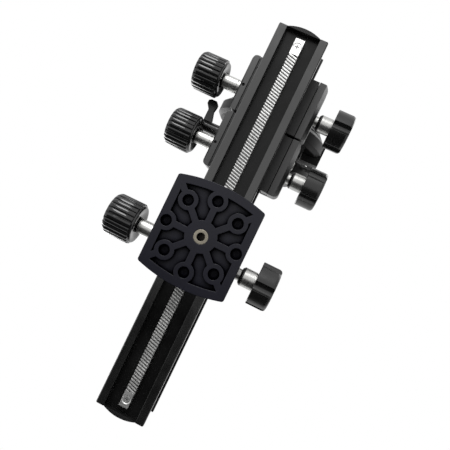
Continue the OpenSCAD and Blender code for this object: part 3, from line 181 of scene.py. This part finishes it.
# The racks are milled from steel and nickel-plated. They shine white and grey, with
# fine marks across them from the cutter, and painted shade darkens the gaps between their teeth.
# They are held by countersunk screws with the same plating.
def milled(name, color, sheen, grain, stretch, edge=0.0002):
    material, tree, shader, place = new_finish(name)
    softened_edges(tree, shader, edge)
    marks = noise(tree, place, scale=grain, detail=2.0, stretch=stretch)
    shade = noise(tree, place, scale=90, detail=3.0)
    darker = tuple(0.82 * part for part in color)
    tree.links.new(two_tone(tree, shade, darker, color), shader.inputs["Base Color"])
    tree.links.new(spread(tree, marks, sheen - 0.07, sheen + 0.07), shader.inputs["Roughness"])
    shader.inputs["Metallic"].default_value = 1.0
    relief(tree, shader, marks, depth=0.00001, strength=0.4)
    return material


def colored_where(tree, shader, mask, color):
    mix = tree.nodes.new("ShaderNodeMixRGB")
    tree.links.new(mask, mix.inputs["Fac"])
    tree.links.new(shader.inputs["Base Color"].links[0].from_socket, mix.inputs["Color1"])
    mix.inputs["Color2"].default_value = (*color, 1)
    tree.links.new(mix.outputs["Color"], shader.inputs["Base Color"])


def paint_corner_shade(tree, shader, reach, closed, shade_color):
    # Painted shade: the colour is darkened where ambient occlusion finds the surface hemmed in.
    openness = tree.nodes.new("ShaderNodeAmbientOcclusion")
    openness.samples = 8
    openness.only_local = True
    openness.inputs["Distance"].default_value = reach
    painted_shade = spread(tree, openness.outputs["AO"], 1.0, 0.0, closed, 1.0)
    colored_where(tree, shader, painted_shade, shade_color)
    return painted_shade


rack_steel = milled("rack_steel", (0.93, 0.93, 0.92), sheen=0.4, grain=1200,
                    stretch=(1, 0.06, 1), edge=0.00012)
tree = rack_steel.node_tree
# Painted shade darkens the gaps between the teeth.
paint_corner_shade(tree, tree.nodes["Principled BSDF"], reach=0.0007, closed=0.75,
                 shade_color=(0.3, 0.3, 0.3))
give(rack_steel, "lower_rack", "upper_rack", "rack_screws", "lens_ring_screws")

# The end plugs are moulded in black plastic and pushed into the hollow core. Fine
# upright ribs run over their rounded outer face.
plug_black = anodised("plug_black", (0.006, 0.006, 0.006), (0.010, 0.010, 0.010), sheen=0.42,
                      grain=1200, gloss=0.3)
plug_rib_step = 0.0011
plug_rib_rise = 0.00008
tree = plug_black.node_tree
across = coordinates(tree, tree.nodes["Texture Coordinate"])[1]
rib_wave = calculate(tree, "SINE",
                     calculate(tree, "MULTIPLY", across, 2 * math.pi / plug_rib_step))
relief(tree, tree.nodes["Principled BSDF"], rib_wave, depth=plug_rib_rise)
give(plug_black, "front_end_plug", "rear_end_plug")

# The scale strip is a thin black bar on the rail's side. Its white graduations, one
# each millimetre and longer at five and ten, are printed on the face that looks out.
strip_black = anodised("strip_black", (0.010, 0.010, 0.010), (0.016, 0.016, 0.016), sheen=0.4,
                       gloss=0.4)
strip_low, strip_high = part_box("scale_strip")
tree = strip_black.node_tree
shader = tree.nodes["Principled BSDF"]
along, across, up = coordinates(tree, tree.nodes["Texture Coordinate"])
mark_width = 0.0002
mark_margin = 0.0003
ink_depth = 0.00005
mark_length_by_step = {0.001: 0.001, 0.005: 0.0016, 0.010: 0.0022}
below_margin = calculate(tree, "SUBTRACT", strip_high.z - mark_margin, up)
from_first = calculate(tree, "SUBTRACT", along, strip_low.x - mark_width / 2)
marks = 0
for step, mark_length in mark_length_by_step.items():
    place_in_step = calculate(tree, "FLOORED_MODULO", from_first, step)
    in_width = calculate(tree, "LESS_THAN", place_in_step, mark_width)
    in_length = calculate(tree, "LESS_THAN", below_margin, mark_length)
    marks = calculate(tree, "MAXIMUM", calculate(tree, "MULTIPLY", in_width, in_length), marks)
on_face = calculate(tree, "GREATER_THAN", across, strip_high.y - ink_depth)
ink = calculate(tree, "MULTIPLY", calculate(tree, "MULTIPLY", on_face, marks),
                calculate(tree, "GREATER_THAN", below_margin, 0))
colored_where(tree, shader, ink, (0.7, 0.7, 0.7))
give(strip_black, "scale_strip")

# Tripod block, carriages and tilt bracket are milled and bead-blasted before they
# are anodised black, so they have a fine matt grain.
body_black = anodised("body_black", (0.008, 0.008, 0.008), (0.014, 0.014, 0.014), sheen=0.46,
                      gloss=0.9, edge=0.0006)
give(body_black, "tripod_block", "front_carriage", "rear_carriage", "tilt_bracket")

# The clamp jaws and the fixed gibs are shinier than the carriages that hold them, and a
# little darker, which is painted shade. They are milled from bar and anodised by themselves.
# Painted shade: the base colour is a little darker than the carriages' black.
jaw_black = anodised("jaw_black", (0.007, 0.007, 0.007), (0.012, 0.012, 0.012), sheen=0.4)
give(jaw_black, "block_jaw", "front_jaw", "rear_jaw", "block_gib", "front_gib", "rear_gib")

# The foot pad is one moulded rubber plate, slightly blue-black, with a fine grain all
# over. Its pockets carry painted shade and less gloss along their walls. It is bonded to the
# block.
pad_rubber, tree, shader, place = new_finish("pad_rubber")
softened_edges(tree, shader, radius=0.0006)
shade = noise(tree, place, scale=35, detail=4.0)
tree.links.new(two_tone(tree, shade, (0.003, 0.003, 0.009), (0.0055, 0.0055, 0.014)),
               shader.inputs["Base Color"])
# Painted shade darkens the pockets' walls and floors, and the same mask dims their gloss.
pocket_shade = paint_corner_shade(tree, shader, reach=0.005, closed=0.6, shade_color=(0.0005, 0.0005, 0.0015))
tree.links.new(spread(tree, shade, 0.28, 0.36), shader.inputs["Roughness"])
tree.links.new(spread(tree, pocket_shade, 0.36, 0.0, 0, 1), shader.inputs["Specular IOR Level"])
relief(tree, shader, noise(tree, place, scale=900, detail=3.0), depth=0.00006, strength=0.5)
give(pad_rubber, "foot_pad")


# The tripod bush is turned steel with a warm nickel finish, pressed into the block. Its
# thread is cut into the bore, which is painted almost black as shade inside the hole.
def from_axis(tree, first, second):
    squares = calculate(tree, "ADD", calculate(tree, "MULTIPLY", first, first),
                        calculate(tree, "MULTIPLY", second, second))
    return calculate(tree, "SQRT", squares)


def cut_thread(tree, shader, lengthwise, pitch, in_bore):
    turns = calculate(tree, "SINE", calculate(tree, "MULTIPLY", lengthwise, 2 * math.pi / pitch))
    relief(tree, shader, calculate(tree, "MULTIPLY", turns, in_bore), depth=0.0003)


bush_metal = milled("bush_metal", (0.34, 0.31, 0.25), sheen=0.3, grain=1500,
                    stretch=(1, 1, 0.05), edge=0.0006)
bore_radius = 0.0027
bush_pitch = 0.00127
tree = bush_metal.node_tree
shader = tree.nodes["Principled BSDF"]
along, across, up = coordinates(tree, tree.nodes["Texture Coordinate"])
in_bore = calculate(tree, "LESS_THAN", from_axis(tree, along, across), bore_radius)
# Painted shade: the bore is coloured almost black.
colored_where(tree, shader, in_bore, (0.02, 0.018, 0.015))
cut_thread(tree, shader, up, bush_pitch, in_bore)
give(bush_metal, "tripod_bush")

# The sleeves, lock studs and tilt bolt are polished and chrome-plated. Faint rings
# round them come from turning. The pinions and the retaining ring are ground steel.
chrome = milled("chrome", (0.55, 0.55, 0.535), sheen=0.33, grain=2400, stretch=(0.02, 1, 0.02))
give(chrome, "block_sleeve", "front_sleeve", "rear_sleeve", "block_lock_stud",
     "front_lock_stud", "rear_lock_stud", "tilt_bolt")
shaft_steel = milled("shaft_steel", (0.7, 0.7, 0.7), sheen=0.25, grain=2400,
                     stretch=(0.02, 1, 0.02))
give(shaft_steel, "block_pinion", "front_pinion", "rear_pinion", "retaining_ring")

# Star knobs and the tilt lever are moulded in black plastic with a satin skin. Each
# star is pressed on its stud, behind a darker collar.
knob_black = anodised("knob_black", (0.005, 0.005, 0.005), (0.008, 0.008, 0.008), sheen=0.26,
                      grain=1800, gloss=0.6)
give(knob_black, "block_focus_knob", "front_focus_knob", "rear_focus_knob", "block_lock_star",
     "front_lock_star", "rear_lock_star", "clamp_lever")
collar_black = anodised("collar_black", (0.004, 0.004, 0.004), (0.007, 0.007, 0.007), sheen=0.3)
give(collar_black, "block_lock_collar", "front_lock_collar", "rear_lock_collar")

# Each focus knob is moulded in the same plastic, with rounded ribs round its rim, a
# dished inner face and a shallow recess in its outer face. It is pressed on its shaft.
rib_count = 24
rib_rise = 0.0004
groove_deep = 0.0012
knob_edge = 0.0012
shaft_radius = 0.0024
dish_radius = 0.0055
dish_deep = 0.0012
dish_rim = 0.0011
recess_deep = 0.0006
least_radius = 1e-6
smooth_below = math.radians(38)
rib_shares = (-1.0, -0.9, -0.78, -0.55, -0.28, 0.0, 0.28, 0.55, 0.78, 0.9)
crest_share = 0.78
groove_share = 0.84


def shaping_tree(name, sizes):
    tree = bpy.data.node_groups.new(name, "GeometryNodeTree")
    tree.interface.new_socket("Geometry", in_out="INPUT", socket_type="NodeSocketGeometry")
    for size in sizes:
        tree.interface.new_socket(size, in_out="INPUT", socket_type="NodeSocketFloat")
    tree.interface.new_socket("Finish", in_out="INPUT", socket_type="NodeSocketMaterial")
    tree.interface.new_socket("Geometry", in_out="OUTPUT", socket_type="NodeSocketGeometry")
    given = tree.nodes.new("NodeGroupInput").outputs
    before = tree.nodes.new("GeometryNodeInputPosition")
    parts = tree.nodes.new("ShaderNodeSeparateXYZ")
    tree.links.new(before.outputs["Position"], parts.inputs["Vector"])
    return tree, given, (parts.outputs["X"], parts.outputs["Y"], parts.outputs["Z"])


def own_value(tree, name):
    node = tree.nodes.new("GeometryNodeInputNamedAttribute")
    node.data_type = "FLOAT"
    node.inputs["Name"].default_value = name
    return node.outputs["Attribute"]


def end_with_places(tree, given, x, y, z):
    after = tree.nodes.new("ShaderNodeCombineXYZ")
    for socket, value in zip(after.inputs, (x, y, z)):
        tree.links.new(value, socket)
    moved = tree.nodes.new("GeometryNodeSetPosition")
    tree.links.new(given["Geometry"], moved.inputs["Geometry"])
    tree.links.new(after.outputs["Vector"], moved.inputs["Position"])
    real = tree.nodes.new("GeometryNodeRealizeInstances")
    tree.links.new(moved.outputs["Geometry"], real.inputs["Geometry"])
    finished = tree.nodes.new("GeometryNodeSetMaterial")
    tree.links.new(real.outputs["Geometry"], finished.inputs["Geometry"])
    tree.links.new(given["Finish"], finished.inputs["Material"])
    end = tree.nodes.new("NodeGroupOutput")
    tree.links.new(finished.outputs["Geometry"], end.inputs["Geometry"])


def shaped_piece(name, points, faces, own_name, own_values, tree, sizes):
    start = bpy.data.meshes.new(name)
    start.from_pydata(points, [], faces)
    start.attributes.new(own_name, "FLOAT", "POINT").data.foreach_set("value", own_values)
    piece = bpy.data.objects.new(name, start)
    bpy.context.scene.collection.objects.link(piece)
    modifier = piece.modifiers.new(tree.name, "NODES")
    modifier.node_group = tree
    for socket in tree.interface.items_tree:
        if socket.in_out == "INPUT" and socket.name in sizes:
            modifier[socket.identifier] = sizes[socket.name]
    evaluated = piece.evaluated_get(bpy.context.evaluated_depsgraph_get())
    shaped = bpy.data.meshes.new_from_object(evaluated)
    piece.modifiers.clear()
    piece.data = shaped
    shaped.name = name
    shaped.attributes.remove(shaped.attributes[own_name])
    return piece


# The knob comes in turned and plain, and this tree sinks its rim between the ribs. The
# rim's own value "ribbed" says how much of that depth a ring of it takes.
ribs, given, (x, y, z) = shaping_tree(
    "ribs", ("Middle X", "Middle Z", "Count", "Rise", "Groove", "Crest share", "Groove share"))
from_x = calculate(ribs, "SUBTRACT", x, given["Middle X"])
from_z = calculate(ribs, "SUBTRACT", z, given["Middle Z"])
round_turn = calculate(ribs, "DIVIDE", calculate(ribs, "ARCTAN2", from_z, from_x), 2 * math.pi)
in_rib = calculate(ribs, "FRACT", calculate(ribs, "MULTIPLY", round_turn, given["Count"]))
off_crest = calculate(ribs, "ABSOLUTE", calculate(ribs, "MULTIPLY_ADD", in_rib, 2, -1))
in_groove = calculate(ribs, "GREATER_THAN", off_crest, given["Groove share"])
on_rib = calculate(ribs, "SUBTRACT", 1, in_groove)
fall = calculate(ribs, "POWER", calculate(ribs, "DIVIDE", off_crest, given["Crest share"]), 2)
fall = calculate(ribs, "MULTIPLY", fall, given["Rise"])
deep = calculate(ribs, "MULTIPLY_ADD", on_rib, fall,
                 calculate(ribs, "MULTIPLY", in_groove, given["Groove"]))
deep = calculate(ribs, "MULTIPLY", deep, own_value(ribs, "ribbed"))
radius_there = calculate(ribs, "MAXIMUM", least_radius, from_axis(ribs, from_x, from_z))
inwards = calculate(ribs, "DIVIDE", deep, radius_there)
end_with_places(ribs, given,
                calculate(ribs, "SUBTRACT", x, calculate(ribs, "MULTIPLY", from_x, inwards)), y,
                calculate(ribs, "SUBTRACT", z, calculate(ribs, "MULTIPLY", from_z, inwards)))


def ribbed_knob(name, node, body):
    low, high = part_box(node)
    radius = (high.x - low.x) / 2
    middle = Vector(((low.x + high.x) / 2, high.y, (low.z + high.z) / 2))
    length = high.y - low.y
    # Each point has a radius, its distance from the inner face, and its "ribbed" value.
    profile = [(shaft_radius, 0, 0), (dish_radius, 0, 0), (dish_radius, dish_deep, 0),
               (dish_radius + dish_rim, dish_deep, 0),
               (radius - 4 * knob_edge, 0, 0), (radius - 1.7 * knob_edge, 0, 0),
               (radius - 1.2 * knob_edge, 0.4 * knob_edge, 0),
               (radius - knob_edge, 1.2 * knob_edge, 0),
               (radius - 0.2 * knob_edge, 1.4 * knob_edge, 1),
               (radius, 1.7 * knob_edge, 1), (radius, length - 2 * knob_edge, 1),
               (radius - 0.25 * knob_edge, length - 1.2 * knob_edge, 1),
               (radius - 0.8 * knob_edge, length - 0.3 * knob_edge, 0.5),
               (radius - 1.2 * knob_edge, length, 0), (radius - 2.9 * knob_edge, length, 0),
               (radius - 3.1 * knob_edge, length - recess_deep, 0),
               (0.0, length - recess_deep, 0)]
    around = [(i + (share + 1) / 2) * 2 * math.pi / rib_count
              for i in range(rib_count) for share in rib_shares]
    points = [(middle.x + r * math.cos(angle), middle.y - out, middle.z + r * math.sin(angle))
              for r, out, ribbed in profile for angle in around]
    ribbed_here = [ribbed for r, out, ribbed in profile for angle in around]
    count = len(around)
    faces = [(ring * count + k, ring * count + (k + 1) % count,
              (ring + 1) * count + (k + 1) % count, (ring + 1) * count + k)
             for ring in range(len(profile) - 1) for k in range(count)]
    knob = shaped_piece(name, points, faces, "ribbed", ribbed_here, ribs,
                        {"Middle X": middle.x, "Middle Z": middle.z, "Count": float(rib_count),
                         "Rise": rib_rise, "Groove": groove_deep, "Crest share": crest_share,
                         "Groove share": groove_share, "Finish": knob_skin})
    knob.data.polygons.foreach_set("use_smooth", [True] * len(knob.data.polygons))
    knob.data.set_sharp_from_angle(angle=smooth_below)
    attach(knob, body)
    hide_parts(node)


knob_skin, tree, shader, place = new_finish("knob_skin")
shade = noise(tree, place, scale=150, detail=3.0)
tree.links.new(two_tone(tree, shade, (0.009, 0.009, 0.0095), (0.014, 0.014, 0.015)),
               shader.inputs["Base Color"])
tree.links.new(spread(tree, shade, 0.10, 0.14), shader.inputs["Roughness"])
shader.inputs["Specular IOR Level"].default_value = 0.6
relief(tree, shader, noise(tree, place, scale=1500, detail=2.0), depth=0.00002, strength=0.3)
for side in ("block", "front", "rear"):
    ribbed_knob(side + "_ribbed_knob", side + "_focus_knob", side + "_drive")

# All fixing screws and thumb screws are turned steel with a black oxide skin. They sit
# in tapped holes in the carriages, plugs and standards.
screw_black = milled("screw_black", (0.06, 0.06, 0.06), sheen=0.35, grain=1500,
                     stretch=(1, 1, 1))
give(screw_black, "block_screws", "front_screws", "rear_screws", "end_plug_screws",
     "bracket_screws", "rear_frame_screws", "foot_screws", "front_bellows_screw",
     "rear_bellows_screw", "ring_lock_screw")

# The round frames and rings of both standards are turned and bead-blasted
# aluminium, anodised a softer black.
frame_black = anodised("frame_black", (0.011, 0.011, 0.011), (0.017, 0.017, 0.017), sheen=0.5,
                       gloss=0.2, edge=0.0006)
give(frame_black, "front_frame", "rear_frame", "rear_foot", "front_bellows_frame",
     "rear_bellows_frame", "camera_ring")

# The lens ring is turned in the same aluminium, with a fine thread in its bore for
# lenses. Countersunk screws hold its flange.
lens_black = anodised("lens_black", (0.006, 0.006, 0.006), (0.010, 0.010, 0.010), sheen=0.4,
                      gloss=0.4)
lens_bore = 0.0206
lens_pitch = 0.001
lens_height = 0.105
tree = lens_black.node_tree
along, across, up = coordinates(tree, tree.nodes["Texture Coordinate"])
above = calculate(tree, "SUBTRACT", up, lens_height)
in_bore = calculate(tree, "LESS_THAN", from_axis(tree, above, across), lens_bore)
cut_thread(tree, tree.nodes["Principled BSDF"], along, lens_pitch, in_bore)
give(lens_black, "lens_ring")

# The bellows is coated cloth folded into square pleats with cut corners. It is made in
# three lengths: the nose, the middle and the tail.
cloth_black, tree, shader, place = new_finish("bellows_cloth")
shade = noise(tree, place, scale=120, detail=4.0)
tree.links.new(two_tone(tree, shade, (0.006, 0.006, 0.006), (0.012, 0.012, 0.012)),
               shader.inputs["Base Color"])
tree.links.new(spread(tree, shade, 0.5, 0.65), shader.inputs["Roughness"])
relief(tree, shader, noise(tree, place, scale=1800, detail=2.0), depth=0.00005, strength=0.5)

optical_axis = Vector((0, 0, lens_height))
bellows_low, bellows_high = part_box("bellows")
fold_room = 0.0004
fold_outer = (bellows_high.z - bellows_low.z) / 2 - fold_room
fold_deep = 0.009
cloth = 0.0006
fold_count = 10
fold_length = (bellows_high.x - bellows_low.x) / fold_count
corner_share = 0.14
pleat_corners = 8
steps_per_fold = 8

# The tube comes in straight, one unit long for each fold and one unit from its middle to
# its sides. This tree folds it, and spaces the folds along each length unevenly.
pleats, given, (fold, y, z) = shaping_tree(
    "pleats", ("Start", "First fold", "Folds", "Fold length", "Height", "Outer", "Deep", "Cloth"))
wave = calculate(pleats, "FRACT", calculate(pleats, "ADD", fold, 0.5))
wave = calculate(pleats, "ABSOLUTE", calculate(pleats, "MULTIPLY_ADD", wave, 2, -1))
sunk = calculate(pleats, "ADD", calculate(pleats, "MULTIPLY", given["Deep"], wave),
                 calculate(pleats, "MULTIPLY", given["Cloth"], own_value(pleats, "inner")))
half = calculate(pleats, "SUBTRACT", given["Outer"], sunk)
share = calculate(pleats, "SUBTRACT", fold, given["First fold"])
share = calculate(pleats, "DIVIDE", share, given["Folds"])
bent = calculate(pleats, "ARCSINE", calculate(pleats, "MULTIPLY_ADD", share, -2, 1))
bent = calculate(pleats, "SINE", calculate(pleats, "DIVIDE", bent, 3))
even = calculate(pleats, "SUBTRACT", 0.5, bent)
along = calculate(pleats, "MULTIPLY_ADD", even, given["Folds"], given["First fold"])
end_with_places(pleats, given,
                calculate(pleats, "MULTIPLY_ADD", along, given["Fold length"], given["Start"]),
                calculate(pleats, "MULTIPLY", y, half),
                calculate(pleats, "MULTIPLY_ADD", z, half, given["Height"]))


def unit_ring(fold):
    b = 1 - 2 * corner_share
    return [(fold, y, z) for y, z in
            ((1, -b), (1, b), (b, 1), (-b, 1), (-1, b), (-1, -b), (-b, -1), (b, -1))]


def bellows_mesh(name, first, last):
    count = (last - first) * steps_per_fold + 1
    tube = [point for step in range(count) for point in unit_ring(first + step / steps_per_fold)]
    inner_wall = [0.0] * len(tube) + [1.0] * len(tube)
    faces = []
    inner_start = len(tube)
    for k in range(pleat_corners):
        following = (k + 1) % pleat_corners
        for step in range(count - 1):
            a, b = pleat_corners * step + k, pleat_corners * step + following
            faces.append((a, b, b + pleat_corners, a + pleat_corners))
            c, d = inner_start + a, inner_start + b
            faces.append((d, c, c + pleat_corners, d + pleat_corners))
        faces.append((following, k, inner_start + k, inner_start + following))
        a, b = inner_start - pleat_corners + k, inner_start - pleat_corners + following
        faces.append((a, b, inner_start + b, inner_start + a))
    return shaped_piece(name, tube + tube, faces, "inner", inner_wall, pleats,
                        {"Start": bellows_low.x, "First fold": float(first),
                         "Folds": float(last - first), "Fold length": fold_length,
                         "Height": optical_axis.z, "Outer": fold_outer, "Deep": fold_deep,
                         "Cloth": cloth, "Finish": cloth_black})


nose_end, tail_start = 3, 9
bellows_nose = bellows_mesh("bellows_nose", 0, nose_end)
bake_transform(bellows_nose)
bellows_middle = bellows_mesh("bellows_middle", nose_end, tail_start)
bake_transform(bellows_middle)
bellows_tail = bellows_mesh("bellows_tail", tail_start, fold_count)
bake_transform(bellows_tail)
for piece in (bellows_nose, bellows_middle, bellows_tail):
    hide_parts("bellows")

# The stage: white all round for the camera, a pale floor under the pad that is only
# seen from above, soft lamps above and below, and dark cards for the chrome.
world = bpy.data.worlds.new("world")
bpy.context.scene.world = world
world.use_nodes = True
tree = world.node_tree
tree.nodes.clear()
rays = tree.nodes.new("ShaderNodeLightPath").outputs
seen = calculate(tree, "MAXIMUM", rays["Is Camera Ray"], rays["Is Glossy Ray"])
seen = calculate(tree, "MAXIMUM", seen, rays["Is Transmission Ray"])
sky = tree.nodes.new("ShaderNodeBackground")
sky.inputs["Color"].default_value = (1, 1, 1, 1)
out = tree.nodes.new("ShaderNodeOutputWorld")
tree.links.new(spread(tree, seen, 0.3, 1.0, 0, 1), sky.inputs["Strength"])
tree.links.new(sky.outputs["Background"], out.inputs["Surface"])

floor_half = 3.0
floor_gap = 0.0002
floor_mesh = bpy.data.meshes.new("floor")
floor_mesh.from_pydata([(-floor_half, -floor_half, 0), (floor_half, -floor_half, 0),
                        (floor_half, floor_half, 0), (-floor_half, floor_half, 0)],
                       [], [(0, 1, 2, 3)])
floor = bpy.data.objects.new("floor", floor_mesh)
bpy.context.scene.collection.objects.link(floor)
floor.location.z = -floor_gap
paper = bpy.data.materials.new("floor_paper")
paper.use_nodes = True
tree = paper.node_tree
tree.nodes.clear()
rays = tree.nodes.new("ShaderNodeLightPath").outputs
underside = tree.nodes.new("ShaderNodeNewGeometry").outputs["Backfacing"]
pale_part = calculate(tree, "SUBTRACT", rays["Is Camera Ray"], underside)
pale_part.node.use_clamp = True
pale = tree.nodes.new("ShaderNodeBsdfDiffuse")
pale.inputs["Color"].default_value = (0.9, 0.9, 0.9, 1)
open_air = tree.nodes.new("ShaderNodeBsdfTransparent")
mix = tree.nodes.new("ShaderNodeMixShader")
out = tree.nodes.new("ShaderNodeOutputMaterial")
tree.links.new(pale_part, mix.inputs["Fac"])
tree.links.new(open_air.outputs[0], mix.inputs[1])
tree.links.new(pale.outputs[0], mix.inputs[2])
tree.links.new(mix.outputs[0], out.inputs["Surface"])
floor_mesh.materials.append(paper)


def softbox(name, place, target, wide, high, radiance):
    data = bpy.data.lights.new(name, "AREA")
    data.shape = "RECTANGLE"
    data.size = wide
    data.size_y = high
    data.energy = radiance * math.pi * wide * high
    lamp = bpy.data.objects.new(name, data)
    bpy.context.scene.collection.objects.link(lamp)
    lamp.location = place
    aim = (Vector(target) - Vector(place)).to_track_quat("-Z", "Y")
    lamp.rotation_euler = aim.to_euler()


rail_middle = (0.03, 0, 0.03)
part_middle = (0.03, 0, 0.05)
softbox("key_below", (0.8, -0.3, -0.5), rail_middle, wide=0.45, high=0.6, radiance=7)
softbox("key_above", (-0.7, -0.9, 1.3), part_middle, wide=1.0, high=1.0, radiance=5.0)
softbox("fill_above", (0.9, 0.8, 0.9), part_middle, wide=0.9, high=0.9, radiance=2.4)


def dark_card(name, place, target, wide, high, shade):
    mesh = bpy.data.meshes.new(name)
    half_w, half_h = wide / 2, high / 2
    mesh.from_pydata([(-half_w, -half_h, 0), (half_w, -half_h, 0), (half_w, half_h, 0),
                      (-half_w, half_h, 0)], [], [(0, 1, 2, 3)])
    card = bpy.data.objects.new(name, mesh)
    bpy.context.scene.collection.objects.link(card)
    card.location = place
    card.rotation_euler = (Vector(target) - Vector(place)).to_track_quat("Z", "Y").to_euler()
    grey = bpy.data.materials.new(name)
    grey.use_nodes = True
    card_tree = grey.node_tree
    card_tree.nodes.clear()
    glow = card_tree.nodes.new("ShaderNodeEmission")
    glow.inputs["Color"].default_value = (shade, shade, shade, 1)
    end = card_tree.nodes.new("ShaderNodeOutputMaterial")
    card_tree.links.new(glow.outputs[0], end.inputs["Surface"])
    mesh.materials.append(grey)
    card.visible_camera = False
    card.visible_diffuse = False
    card.visible_shadow = False


block_middle = (0, 0, 0.03)
dark_card("card_below", (-0.95, 0, -0.72), block_middle, wide=2.2, high=2.4, shade=0.04)
dark_card("card_right", (0.0, 1.1, -0.15), block_middle, wide=1.6, high=0.9, shade=0.1)
